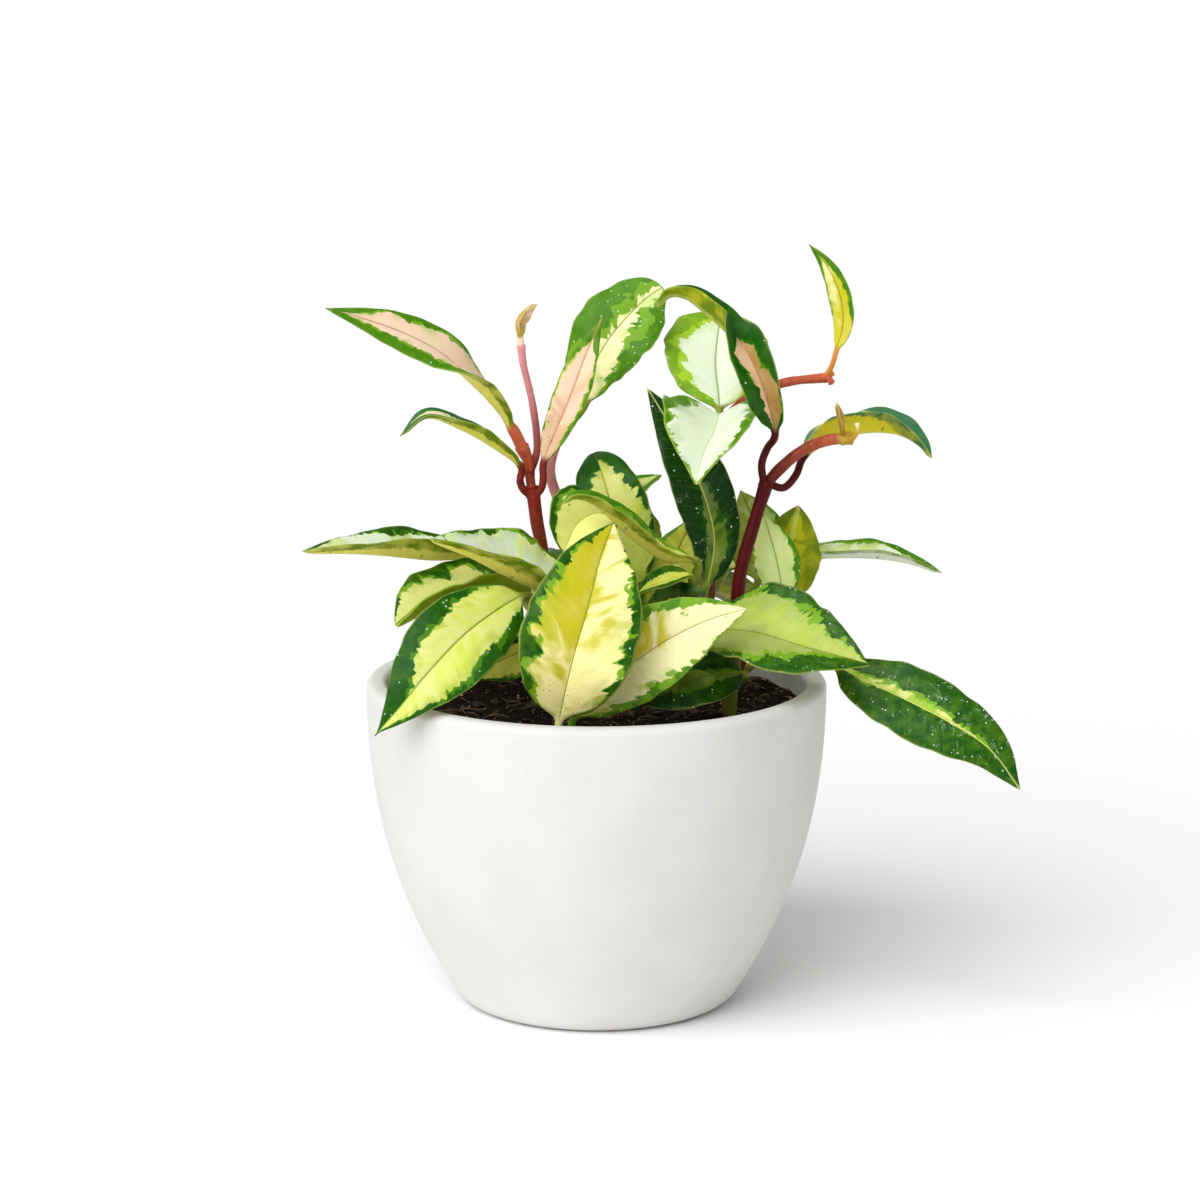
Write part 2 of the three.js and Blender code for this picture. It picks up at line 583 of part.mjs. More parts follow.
function makePot() {
  const lipHeight = POT_HEIGHT - POT_LIP_ROUND;
  const outer = evenly(POT_CORNER_HEIGHT, lipHeight, POT_WALL_STEPS).map((z) => [wallRadius(z), z]);
  const inner = INNER_HEIGHTS.toReversed().map((z) => [innerRadius(z), z]);
  const lipOuter = lipRound(wallRadius(lipHeight) - POT_LIP_ROUND, Math.PI / 8, Math.PI / 2);
  const lipInner = lipRound(innerRadius(lipHeight) + POT_LIP_ROUND, Math.PI / 2, (7 * Math.PI) / 8);
  const corner = [[POT_FOOT_RADIUS, 0], [POT_FOOT_RADIUS + POT_FOOT_ROUND, POT_FOOT_ROUND / 4]];
  const profile = [[0, 0], ...corner, ...outer, ...lipOuter, ...lipInner, ...inner, [0, POT_FLOOR]];
  return turned(profile, POT_SEGMENTS);
}

// Crumb of the potting mix's surface at a place: the same every time for one seed.
function crumb(ring, segment) {
  const value = Math.sin(ring * 127.1 + segment * 311.7 + SOIL_SEED) * 43758.5453;
  return (value - Math.floor(value) - 0.5) * 2 * SOIL_RELIEF;
}

function makeSoil() {
  const side = INNER_HEIGHTS.slice(0, -1).map((height) => ({
    radius: innerRadius(height) - CLEARANCE,
    z: Math.max(height, POT_FLOOR + CLEARANCE),
    relief: 0,
  }));
  const edge = side.at(-1).radius;
  const surface = evenly(1, 0, SOIL_RINGS).slice(1, -1).map((share, ring) => ({
    radius: edge * share,
    z: SOIL_TOP,
    relief: ring + 1,
  }));
  const rings = [...side, ...surface].map(({ radius, z, relief }) =>
    Array.from({ length: SOIL_SEGMENTS }, (_, i) => {
      const angle = (2 * Math.PI * i) / SOIL_SEGMENTS;
      const height = relief ? z + crumb(relief, i) : z;
      return new THREE.Vector3(radius * Math.cos(angle), radius * Math.sin(angle), height);
    }),
  );
  return solidOf(skinOf(rings));
}

function meshOf(name, geometry, finish) {
  const mesh = new THREE.Mesh(geometry, new THREE.MeshStandardMaterial(FINISHES[finish]));
  mesh.name = name;
  return mesh;
}

const plant = new THREE.Group();
const pot = makePot();
plant.add(meshOf("pot", pot, "ceramic"));

let soil = makeSoil();
for (const [name, runs] of Object.entries(STEMS)) {
  plant.add(meshOf(name, geometryOfSolid(stemSolid(runs)), "stem"));
  soil = soil.subtract(tube(runs[0], CLEARANCE));
}

for (const [name, leaf] of Object.entries(LEAVES)) {
  const whole = solidOf(leafSkin(leaf).skin);
  if (leaf.on) {
    const seat = stemSolid(STEMS[leaf.on], CLEARANCE);
    plant.add(meshOf(name, geometryOfSolid(largestPiece(whole.subtract(seat))), leaf.finish));
  } else {
    const hole = solidOf(skinOf(leafSkin(leaf, CLEARANCE).stalkRings));
    soil = soil.subtract(hole);
    plant.add(meshOf(name, geometryOfSolid(whole), leaf.finish));
  }
}
plant.add(meshOf("soil", geometryOfSolid(soil), "mix"));

export default plant;
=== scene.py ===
"""Looks of a potted variegated wax plant: keeled leaves, red shoots, potting mix and a matt white pot."""

from __future__ import annotations

import logging
import math
from collections.abc import Sequence
from dataclasses import dataclass, field, fields
from enum import Enum

import bpy
import numpy as np
from mathutils import Euler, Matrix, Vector, noise

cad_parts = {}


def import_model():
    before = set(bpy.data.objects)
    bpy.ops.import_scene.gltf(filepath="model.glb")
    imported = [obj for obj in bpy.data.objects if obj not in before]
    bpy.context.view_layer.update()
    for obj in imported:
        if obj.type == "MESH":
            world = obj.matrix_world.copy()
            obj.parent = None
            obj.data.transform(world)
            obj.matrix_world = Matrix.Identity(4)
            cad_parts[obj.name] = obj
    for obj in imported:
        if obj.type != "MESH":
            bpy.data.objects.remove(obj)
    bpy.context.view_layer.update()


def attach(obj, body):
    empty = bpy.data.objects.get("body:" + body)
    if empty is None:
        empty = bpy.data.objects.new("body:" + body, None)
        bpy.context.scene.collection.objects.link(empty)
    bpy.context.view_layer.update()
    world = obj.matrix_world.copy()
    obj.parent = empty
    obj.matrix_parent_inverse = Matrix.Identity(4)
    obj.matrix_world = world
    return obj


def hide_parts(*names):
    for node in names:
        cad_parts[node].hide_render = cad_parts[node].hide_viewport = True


LOG = logging.getLogger("potted_plant")

MM = 0.001
BODY = "root"
FLOAT = "NodeSocketFloat"
COLOUR = "NodeSocketColor"
GEOMETRY = "NodeSocketGeometry"

Pair = tuple[float, float]
Point = tuple[float, float, float]
Colour = tuple[float, float, float, float]
Socket = bpy.types.NodeSocket


class Tint(Enum):
    """Colours of the plant, the mix and the pot, as display values of red, green and blue."""

    WHITE_MINT = (232, 244, 220)
    MINT = (212, 230, 148)
    CREAM = (246, 236, 160)
    PALE_CREAM = (250, 244, 186)
    BUTTER = (236, 226, 104)
    YELLOW = (212, 202, 36)
    STRAW = (198, 190, 30)
    LIME = (208, 220, 84)
    PALE_LIME = (218, 222, 128)
    BRIGHT_LIME = (244, 246, 140)
    BRIGHT_MINT = (232, 244, 164)
    DULL_LIME = (176, 194, 70)
    SAGE = (160, 178, 84)
    PINK = (244, 226, 214)
    PEACH = (250, 218, 192)
    BLUSH = (242, 208, 182)
    TAN = (172, 124, 62)
    PINK_TAN = (226, 184, 150)
    OLIVE = (184, 184, 14)
    PALE_OLIVE = (220, 212, 90)
    MOSS = (104, 130, 6)
    DARK_OLIVE = (64, 92, 4)
    # A bright green. On an underside it is painted light, standing in for light shining through the blade.
    GLOW_GREEN = (164, 204, 40)
    FRESH_GREEN = (118, 166, 30)
    MID_GREEN = (70, 128, 10)
    DEEP_GREEN = (20, 80, 4)
    NIGHT_GREEN = (12, 54, 2)
    BLUE_GREEN = (50, 112, 66)
    GREY_GREEN = (104, 142, 108)
    SILVER = (226, 240, 226)
    RIB_GREEN = (110, 126, 30)
    RIB_BROWN = (124, 96, 40)
    RIB_PALE = (206, 214, 120)
    RIB_PINK = (214, 142, 112)
    SPECK = (66, 48, 22)
    OCHRE = (204, 164, 62)
    BUD_BROWN = (170, 126, 36)
    STALK_GREEN = (140, 152, 54)
    STALK_RED = (126, 44, 34)
    STALK_DARK = (76, 16, 12)
    STALK_ORANGE = (226, 150, 70)
    SHOOT_OLIVE = (122, 112, 48)
    SHOOT_WINE = (84, 8, 8)
    SHOOT_RED = (142, 40, 34)
    SHOOT_ROSE = (240, 162, 166)
    SHOOT_CORAL = (212, 104, 72)
    CERAMIC = (224, 223, 221)
    CERAMIC_SHADE = (220, 218, 215)
    MIX_DARK = (8, 5, 2)
    MIX_BROWN = (34, 22, 12)
    BARK = (78, 52, 32)
    BARK_LIGHT = (140, 102, 64)
    FIBRE = (168, 124, 84)
    GRIT = (236, 220, 196)
    FLOOR = (252, 252, 252)

    @property
    def linear(self) -> Colour:
        """The colour as light, as a shader takes it.

        Returns:
            The colour.
        """
        parts = [value / 255 for value in self.value]
        light = [c / 12.92 if c <= 0.04045 else ((c + 0.055) / 1.055) ** 2.4 for c in parts]
        return (*light, 1.0)


class Slot(Enum):
    """Material slots that the record gives."""

    CERAMIC = "ceramic"
    MIX = "potting_mix"
    STEM = "stem"
    LEAF = "leaf"
    YOUNG_LEAF = "young_leaf"


@dataclass(frozen=True)
class Marks:
    """What one blade shows, as seen from above with its tip up.

    left and right say where the green margin starts on that side of the midrib, as percents of the half
    width, and clouds how much of the second colour lies over the core in percent, each of them from the
    blade's base to its tip.
    """

    left: Sequence[int]
    right: Sequence[int]
    core: Tint = Tint.LIME
    cloud: Tint = Tint.BUTTER
    clouds: Sequence[int] = (50,)
    clouds_right: Sequence[int] | None = None
    mid: Tint = Tint.FRESH_GREEN
    dark: Tint = Tint.DEEP_GREEN
    teeth: float = 0.12
    band: float = 0.14
    islands: float = 0.2
    flecks: float = 0.35
    scrawl: float = 0.0
    specks: float = 0.0
    rib: Tint = Tint.RIB_GREEN
    rib_width: float = 0.3
    under: Tint = Tint.OLIVE
    under_green: Tint = Tint.MOSS
    stalk: Tint = Tint.STALK_GREEN

    @property
    def inputs(self) -> dict[str, float | Colour]:
        """The marks that are the same all over the blade, by the name of the shader group's input.

        Returns:
            Colours and shares, by label.
        """
        values = {item.name.replace("_", " ").title(): getattr(self, item.name) for item in fields(self)}
        colours = {label: value.linear for label, value in values.items() if isinstance(value, Tint)}
        shares = {key: float(value) for key, value in values.items() if isinstance(value, (int, float))}
        return {**colours, **shares}


@dataclass(frozen=True)
class Leaf:
    """One leaf's stalk and midrib routes, facing, width and fold, in millimetres and degrees."""

    stalk: Sequence[Point]
    rib: Sequence[Point]
    face: Sequence[Point]
    width: float
    fold: Sequence[float]
    marks: Marks
    widest: float = 0.44
    tip: float = 0.95
    stalk_radius: float = 1.15
    slot: Slot = Slot.LEAF


@dataclass(frozen=True)
class Run:
    """One run of a shoot: its route, its radius at both ends and its colour at both ends."""

    route: Sequence[Point]
    radii: Pair
    tints: Sequence[Tint]


SHOOTS: dict[str, list[Run]] = {
    "stem_left": [
        Run(
            [(-14, 4, 75), (-14, 4, 92), (-16, 3, 117), (-16, 2, 136), (-18, 0, 148), (-19, 0, 156)],
            (2.1, 1.8), (Tint.SHOOT_OLIVE, Tint.SHOOT_RED),
        ),
        Run(
            [(-19, 0, 155), (-20, 1, 161), (-20.5, 1, 166), (-22.5, 0, 171)], (1.2, 1.95),
            (Tint.SHOOT_RED, Tint.SHOOT_CORAL),
        ),
        Run(
            [(-20, 1, 163), (-18, 3.5, 169), (-19.2, 4, 183), (-22.1, 4, 196), (-22.6, 4, 201)], (1.2, 1),
            (Tint.SHOOT_RED, Tint.SHOOT_ROSE),
        ),
        Run([(-19.2, 0, 155.6), (-19.8, 0.6, 158.4)], (2, 2.1), (Tint.SHOOT_RED, Tint.SHOOT_RED)),
    ],
    "stem_left_back": [
        Run(
            [
                (-4, 20, 75), (-4, 19, 92), (-5, 17, 122), (-9.6, 15, 146), (-14.2, 13, 161.5),
                (-12, 14, 172),
            ],
            (2, 1.5), (Tint.SHOOT_RED, Tint.SHOOT_ROSE),
        ),
    ],
    "stem_middle": [
        Run(
            [(30, 20, 75), (31, 20, 92), (35, 18, 124), (35, 15, 150), (36, 13, 168), (38, 12, 178.5)],
            (2, 1.5), (Tint.SHOOT_OLIVE, Tint.SHOOT_RED),
        ),
        Run(
            [(38, 12, 176), (46, 13, 183.9), (57, 15, 188.2), (70, 16, 189.7)], (1.5, 1.3),
            (Tint.SHOOT_RED, Tint.SHOOT_CORAL),
        ),
        Run(
            [(69, 15.9, 189.5), (70.6, 14.8, 189.4), (71.4, 14, 188.4)], (1.5, 0.8),
            (Tint.SHOOT_CORAL, Tint.SHOOT_CORAL),
        ),
        Run([(69.8, 16, 189.8), (71.6, 15.6, 191.2)], (1.3, 0.9), (Tint.STALK_ORANGE, Tint.STALK_ORANGE)),
    ],
    "stem_right": [
        Run(
            [(40, -14, 75), (40, -14, 92), (42, -12, 114), (43, -10, 133), (47, -8, 148), (51, -6, 161)],
            (2.15, 1.9),
            (Tint.STALK_GREEN, Tint.STALK_GREEN, Tint.SHOOT_WINE, Tint.SHOOT_WINE, Tint.SHOOT_WINE),
        ),
        Run(
            [(50.5, -6, 160), (54.6, -5.5, 164.7), (61.6, -4, 170.3), (69, -2, 173.1), (76, -2, 173.9)],
            (1.7, 1.7), (Tint.SHOOT_WINE, Tint.SHOOT_CORAL),
        ),
        Run([(50, -6.3, 156.8), (50.7, -6.2, 160)], (1.9, 2.1), (Tint.SHOOT_WINE, Tint.SHOOT_WINE)),
        Run([(73.2, -2.3, 173.6), (76.4, -2.2, 173.9)], (1.95, 1.9), (Tint.OCHRE, Tint.OCHRE)),
        Run(
            [(74.4, -3.2, 173.2), (76.6, -4.2, 174.2), (78.1, -4.8, 176.5), (77.9, -4.8, 178.6)],
            (1.2, 0.5), (Tint.OCHRE, Tint.OCHRE, Tint.OCHRE, Tint.PALE_CREAM),
        ),
    ],
    "stem_low_left": [
        Run(
            [(-11, -12, 75), (-11, -12, 92), (-14, -13, 110), (-16, -12, 127)], (1.9, 1.4),
            (Tint.SHOOT_OLIVE, Tint.STALK_GREEN),
        ),
    ],
    "stem_low_middle": [
        Run(
            [(8, 0, 75), (8, 0, 92), (9, 0, 108), (10, 0, 124)], (1.9, 1.4),
            (Tint.SHOOT_OLIVE, Tint.STALK_GREEN),
        ),
    ],
    "stem_low_front": [
        Run(
            [(22, -4, 75), (22, -4, 92), (24, -5, 110), (26, -7, 127)], (1.9, 1.4),
            (Tint.SHOOT_OLIVE, Tint.SHOOT_RED),
        ),
    ],
    "stem_low_right": [
        Run(
            [(42, 14, 75), (42, 14, 92), (46, 12.5, 105), (53, 10, 116)], (1.8, 1.4),
            (Tint.SHOOT_OLIVE, Tint.SHOOT_RED),
        ),
    ],
    "stem_back": [
        Run(
            [(8, 40, 75), (8, 40, 92), (8, 38, 106), (6, 36, 120)], (1.9, 1.4),
            (Tint.SHOOT_OLIVE, Tint.SHOOT_RED),
        ),
    ],
}

LEAVES: dict[str, Leaf] = {
    "leaf_front_centre": Leaf(
        stalk=[(-13, -42, 78)],
        rib=[(-11, -46, 96), (-6.5, -50, 117.5), (-2.5, -46, 130.5), (1, -39, 143.5), (5, -30, 153)],
        face=[(0.05, -1, 0.3)], width=35, fold=[12],
        marks=Marks(
            left=(90, 85, 70, 88, 50, 80, 70, 80, 74, 80, 60, 55, 60),
            right=(90, 84, 84, 82, 80, 80, 72, 76, 72, 84, 88, 95, 105), core=Tint.CREAM, cloud=Tint.STRAW,
            clouds=(40, 50, 60, 80, 90, 100, 100), clouds_right=(40, 35, 25, 35, 40, 30, 20), teeth=0.2,
            islands=0.25, specks=1, rib=Tint.MOSS, stalk=Tint.CREAM,
        ),
    ),
    "leaf_front_right": Leaf(
        stalk=[(-7, -36, 78)],
        rib=[(-7, -39, 95), (3, -36, 106), (18.5, -36, 117.5), (32, -40, 125.5), (44, -46, 130.5)],
        face=[(-0.2, -1, 0.3)], width=26, fold=[12],
        marks=Marks(
            left=(110, 110, 110, 105, 95, 70, 80, 64, 76, 70, 105),
            right=(78, 80, 80, 82, 84, 86, 90, 97, 105), core=Tint.PALE_CREAM, cloud=Tint.YELLOW,
            clouds=(100, 100, 100, 60, 20, 0, 0), clouds_right=(50, 40, 30, 20, 10), dark=Tint.MID_GREEN,
            band=0.5, islands=0.35, rib_width=0.25, stalk=Tint.FRESH_GREEN,
        ),
    ),
    "leaf_front_left": Leaf(
        stalk=[(-15.5, -12.3, 121), (-18, -20, 127)],
        rib=[
            (-21, -26, 130.4), (-36.4, -38, 122.9), (-48.6, -48, 112.1), (-56.7, -52, 102.9),
            (-64.5, -50, 93.5),
        ],
        face=[(-0.25, -1, 0.25)], width=27.4, fold=[8], tip=1.3,
        marks=Marks(
            left=(80, 62, 60, 62, 68, 74, 84, 80, 70, 30),
            right=(95, 92, 85, 72, 60, 56, 55, 15, 0, 0, -20), core=Tint.PALE_LIME, cloud=Tint.LIME,
            clouds_right=(70, 50, 60), mid=Tint.MID_GREEN, band=0.16, flecks=1, rib=Tint.MID_GREEN,
            rib_width=0.42,
        ),
    ),
    "leaf_left_low": Leaf(
        stalk=[(-15, -12.5, 116), (-18, -7, 120)],
        rib=[
            (-19.5, -4, 124.5), (-27.8, -9.5, 127.8), (-39.6, -16, 128.2), (-50.4, -23, 125.6),
            (-59.3, -29, 122),
        ],
        face=[(0, -0.09, 1)], width=28, fold=[44], widest=0.58, tip=0.7,
        # The underside's lime and bright green are painted light, standing in for light shining through the
        # blade.
        marks=Marks(
            left=(10, 30, 15, 30, 20), right=(20, 40, 56, 66, 60, 78, 85, 70), core=Tint.PALE_LIME,
            cloud=Tint.LIME, clouds=(20,), teeth=0.2, islands=0.4, flecks=0.8, under=Tint.LIME,
            under_green=Tint.GLOW_GREEN,
        ),
    ),
    "leaf_left": Leaf(
        stalk=[(9.5, 0, 116), (4, -7, 122.5)],
        rib=[
            (-2.5, -12, 127), (-11, -16, 129), (-18, -20, 131.9), (-27, -24, 136.8), (-37, -30, 143.4),
            (-48.5, -36, 149.3),
        ],
        face=[(0, -0.34, 0.94)], width=32, fold=[43], widest=0.36,
        # The underside's butter yellow is brightened: painted light, standing in for light shining through
        # the blade.
        marks=Marks(
            left=(35, 45, 50, 50), right=(60, 80, 85, 88, 84, 82, 90), core=Tint.BRIGHT_MINT,
            cloud=Tint.WHITE_MINT, flecks=0.4, under=Tint.BUTTER,
        ),
    ),
    "leaf_far_left": Leaf(
        stalk=[(-16, 2.7, 124), (-21, 3, 130)],
        rib=[
            (-29, 1.5, 134.5), (-38, -2.5, 137.5), (-49.5, -8, 138.5), (-57, -12, 140), (-63, -16.5, 141.5),
            (-74, -24, 143.5), (-86.5, -30, 144.5),
        ],
        face=[(0, -0.14, 1)], width=20, fold=[49, 45, 35],
        marks=Marks(
            left=(40, 50, 55, 50, 40), right=(90, 85, 80, 62, 85, 90, 30), core=Tint.WHITE_MINT,
            cloud=Tint.MINT, flecks=0.4, under=Tint.BUTTER,
        ),
    ),
    "leaf_low_left": Leaf(
        stalk=[(-13.5, -12.9, 107)],
        rib=[(-19, -17, 112), (-25, -20.5, 111), (-31, -23, 108.5), (-37, -26, 105)],
        face=[(-0.1, -0.9, 0.5)], width=15, fold=[8],
        marks=Marks(left=(80, 80, 80), right=(50, 45, 40), core=Tint.BUTTER, cloud=Tint.LIME),
    ),
    "leaf_low_right": Leaf(
        stalk=[(41, -13, 102), (43.5, -17, 103)],
        rib=[(44.5, -20, 105), (37, -24, 106), (26, -27, 104.5), (15, -30, 103), (4, -31, 101.5)],
        face=[(0.1, -0.75, 0.75)], width=21, fold=[10],
        marks=Marks(
            left=(20, 35, 40, 30, -10), right=(10, 20, 25, 10, -20), core=Tint.MOSS, cloud=Tint.DARK_OLIVE,
            mid=Tint.MID_GREEN, dark=Tint.NIGHT_GREEN, flecks=0.6,
        ),
    ),
    "leaf_right": Leaf(
        stalk=[(24.8, -6, 116), (27.5, -11, 117.5)],
        rib=[(32.5, -16, 118), (47, -26, 119), (62, -34, 116.1), (80, -40, 112.4)],
        face=[(-0.05, -0.66, 0.75)], width=34, fold=[23],
        marks=Marks(
            left=(85, 85, 82, 72, 60, 62, 55, 60, 40), right=(86, 90, 90, 85, 60, 30, 10, -10, -20),
            core=Tint.SAGE, cloud=Tint.DULL_LIME, clouds=(50, 40, 50, 80), clouds_right=(30,), teeth=0.17,
            band=0.24, flecks=1.1, scrawl=0.7,
        ),
    ),
    "leaf_far_right": Leaf(
        stalk=[(41.8, -12.2, 110), (56, -12, 111.5)],
        rib=[
            (70.3, -16, 107.6), (81.2, -22, 103.2), (93, -27, 98.4), (104.6, -31, 93), (116.4, -33, 85.4),
            (125.8, -34, 73.2),
        ],
        face=[(-0.2, -0.8, 0.6)], width=22.4, fold=[6],
        marks=Marks(
            left=(12, 20, 24, 22, 18, 12, 0, -20, -40), right=(8, 6, 0, -5, -12, -20, -40),
            core=Tint.PALE_LIME, cloud=Tint.GLOW_GREEN, clouds=(60, 40), teeth=0.07, band=0.1, flecks=1.3,
            scrawl=1.1, rib=Tint.RIB_PALE, rib_width=0.42,
        ),
    ),
    "leaf_centre_upright": Leaf(
        stalk=[(10, 0, 120), (9, 5, 118)],
        rib=[(7.5, 8, 122), (7.5, 8, 134.5), (5.3, 7, 148), (3, 8, 157), (0.8, 12, 163.2), (-0.8, 18, 166)],
        face=[(0, -1, 0.25)], width=24, fold=[8], tip=0.55,
        marks=Marks(
            left=(80, 85, 88, 90, 90, 88, 80, 66, 30, -20, -50),
            right=(80, 85, 88, 90, 90, 88, 84, 74, 50, 0, -50), core=Tint.PALE_LIME, cloud=Tint.LIME,
            clouds=(90, 60, 40, 30), mid=Tint.MID_GREEN, teeth=0.26, band=0.08, islands=0,
        ),
    ),
    "leaf_centre_left": Leaf(
        stalk=[(10, 0, 122.5), (8, -2, 134), (5.5, -3.5, 143)],
        rib=[(1.7, -5, 150.5), (-2.2, -11, 151.5), (-6.4, -17.5, 149.3), (-9.6, -24.5, 143)],
        face=[(0.35, -0.45, 0.8)], width=24, fold=[30], tip=0.55,
        marks=Marks(
            left=(95, 95, 90), right=(80, 75, 70, 75, 85), core=Tint.BRIGHT_LIME, cloud=Tint.BRIGHT_LIME,
            clouds=(30,), islands=0.1, rib_width=0.25,
        ),
    ),
    "leaf_centre_arch": Leaf(
        stalk=[(26, -7, 125.8), (30, -10, 132)],
        rib=[
            (30, -13, 138.5), (21.5, -17, 139.5), (13.5, -20, 145), (7, -22, 151), (1.5, -23.5, 156.5),
            (-2, -25, 159), (-6.5, -26, 160), (-10.5, -27, 158),
        ],
        face=[(0.4, -0.1, 1), (0.5, -0.1, 0.8), (0.3, -0.2, 1), (-0.1, -0.3, 1)], width=13, fold=[50],
        marks=Marks(
            left=(70, 75, 60, 50, 10, -30), right=(70, 75, 60, 50, 10, -30), core=Tint.PALE_LIME,
            cloud=Tint.YELLOW, dark=Tint.MID_GREEN, band=0.3, under=Tint.PALE_OLIVE,
        ),
    ),
    "leaf_centre_low": Leaf(
        stalk=[(25.6, -6.8, 123), (28, -13, 129)],
        rib=[(28, -17, 134.5), (22.5, -20.5, 134), (16.5, -23.5, 132.5), (11, -26.5, 130.5)],
        face=[(0.1, -0.5, 0.87)], width=10, fold=[35],
        marks=Marks(left=(70, 60, 60), right=(50, 50, 40), under=Tint.LIME),
    ),
    "leaf_centre_dark": Leaf(
        stalk=[(23.4, -4.6, 106), (19.5, -9, 114.5)],
        rib=[(16, -11, 120), (21, -14.5, 124.6), (27, -18, 128.2), (33, -19, 130.5)], face=[(0, -0.9, 0.5)],
        width=14, fold=[12],
        marks=Marks(left=(30, 20, -20), right=(20, 10, -20), core=Tint.DULL_LIME, dark=Tint.NIGHT_GREEN),
    ),
    "leaf_tall": Leaf(
        stalk=[(33.3, 18.8, 110), (33, 9, 117), (32.5, 2, 122)],
        rib=[
            (33, 0, 127), (34.9, 1, 135), (35.6, 2, 142.5), (34.4, 3, 149.5), (31, 4, 159.5),
            (27.2, 5, 167.5), (21.5, 7, 177.5), (15.3, 9, 187.5),
        ],
        face=[(0.1, -1, 0.1)], width=18.6, fold=[14],
        marks=Marks(
            left=(50, 35, 25, 10, -20, -30, -40), right=(55, 55, 42, 20, -20, -30, -40),
            core=Tint.DARK_OLIVE, cloud=Tint.MOSS, clouds=(90, 30, 10), mid=Tint.DEEP_GREEN,
            dark=Tint.NIGHT_GREEN, band=0.16, flecks=0.9, scrawl=0.5, rib=Tint.RIB_PALE, rib_width=0.5,
        ),
    ),
    "leaf_white_up": Leaf(
        stalk=[(38, 12, 176)],
        rib=[(37.5, 15, 179.5), (37.3, 19, 184), (36.5, 25, 192), (37.3, 33, 199.5), (38.7, 40, 206.3)],
        face=[(0, -0.8, 0.6)], width=33, fold=[12], widest=0.62, tip=0.5,
        marks=Marks(
            left=(30, 50, 58, 66, 66, 60, 30, -30), right=(95, 80, 90, 90, 85, 70, 30, -20),
            core=Tint.WHITE_MINT, cloud=Tint.MINT, clouds=(15,), mid=Tint.GLOW_GREEN, dark=Tint.FRESH_GREEN,
            teeth=0.17, band=0.2, islands=0.1, flecks=0.7, rib=Tint.FRESH_GREEN, rib_width=0.5,
        ),
    ),
    "leaf_white_down": Leaf(
        stalk=[(38, 12, 176)], rib=[(37.3, 8.5, 179), (35.5, -4, 176), (32, -18, 171.8), (29.2, -33, 165)],
        face=[(0, -0.3, 1)], width=39.4, fold=[38], widest=0.3,
        marks=Marks(
            left=(60, 62, 72, 84, 92, 90), right=(50, 62, 74, 86, 92, 90), core=Tint.WHITE_MINT,
            cloud=Tint.MINT, clouds=(15,), dark=Tint.MID_GREEN, teeth=0.16, band=0.16, flecks=0.4,
            rib=Tint.MINT, under=Tint.LIME,
        ),
    ),
    "leaf_arching": Leaf(
        stalk=[(50.3, -6, 160), (49.4, -8, 167), (51, -9.5, 172)],
        rib=[
            (53, -14, 176.5), (49.5, -20, 190.6), (46.5, -19, 197.8), (43, -15.5, 203.2), (38, -9, 208),
            (32.3, -5, 212.7), (26.7, -2, 216.5), (21.9, 0, 216.7), (18, 1, 213),
        ],
        face=[
            (-0.2, -1, 0.1), (-0.3, -1, 0.2), (-0.1, -0.9, 0.5), (0.5, 0, 0.85), (0.3, 0, 1), (-0.2, 0, 1),
        ],
        width=16.2, fold=[30, 38, 45, 50, 50], tip=0.7,
        marks=Marks(
            left=(20, 25, 30, 30, 50, 78, 30, -30, -30, -30, -30, -30, -30),
            right=(20, 70, 90, 95, 45, 45, 0, -30, -30, -30, -30, -30, -30), core=Tint.PINK_TAN,
            cloud=Tint.TAN, clouds=(10,), clouds_right=(90,), mid=Tint.MID_GREEN, band=0.06, flecks=0.5,
            rib=Tint.RIB_BROWN, rib_width=0.5, under=Tint.YELLOW, stalk=Tint.STALK_DARK,
        ),
    ),
    "leaf_right_drooping": Leaf(
        stalk=[(51, -6, 161), (56.2, -3.5, 159), (60, -1, 162.4)],
        rib=[
            (62.5, 3, 167.2), (69, 7, 171.3), (77, 9, 173.8), (85.5, 10, 174.6), (92.5, 9, 173.7),
            (97.9, 6, 170.9), (101.2, 3, 167),
        ],
        face=[(-0.2, 0.3, 1), (0, 0.3, 1), (0.2, -0.1, 1), (0.6, -0.4, 0.8)], width=18, fold=[48],
        marks=Marks(
            left=(95, 95, 95, 90, 70, 20, -40, -50), right=(95, 95, 95, 90, 70, 20, -40, -50),
            core=Tint.GREY_GREEN, mid=Tint.GREY_GREEN, dark=Tint.BLUE_GREEN, flecks=0.2, under=Tint.YELLOW,
            under_green=Tint.BLUE_GREEN, stalk=Tint.STALK_DARK,
        ),
    ),
    "leaf_top_right": Leaf(
        stalk=[(69.5, 16, 189.6), (71.5, 14, 193.8)],
        rib=[
            (72.5, 12.5, 198), (74.5, 12, 204.5), (74.5, 12, 211.5), (72.5, 12, 218.5), (69, 12, 225),
            (64, 12, 230.5),
        ],
        face=[(-0.5, -1, 0.2)], width=7.8, fold=[15], stalk_radius=0.8,
        marks=Marks(
            left=(110, 110, 100, 90, 85, 70, 30, -20), right=(110, 105, 95, 70, 76, 50, 40, 20, -20),
            core=Tint.CREAM, cloud=Tint.YELLOW, clouds=(70, 50, 30, 20), clouds_right=(100, 100, 100, 90),
            dark=Tint.MID_GREEN, flecks=0, under=Tint.PALE_CREAM, under_green=Tint.OLIVE,
            stalk=Tint.STALK_ORANGE,
        ),
    ),
    "leaf_bud_right": Leaf(
        stalk=[(74, -2, 173.8)], rib=[(73.6, -4.5, 176.5), (72.8, -5, 180.2), (71.8, -4, 184.8)],
        face=[(1, -0.4, 0.2)], width=4, fold=[25], stalk_radius=0.8, slot=Slot.YOUNG_LEAF,
        marks=Marks(
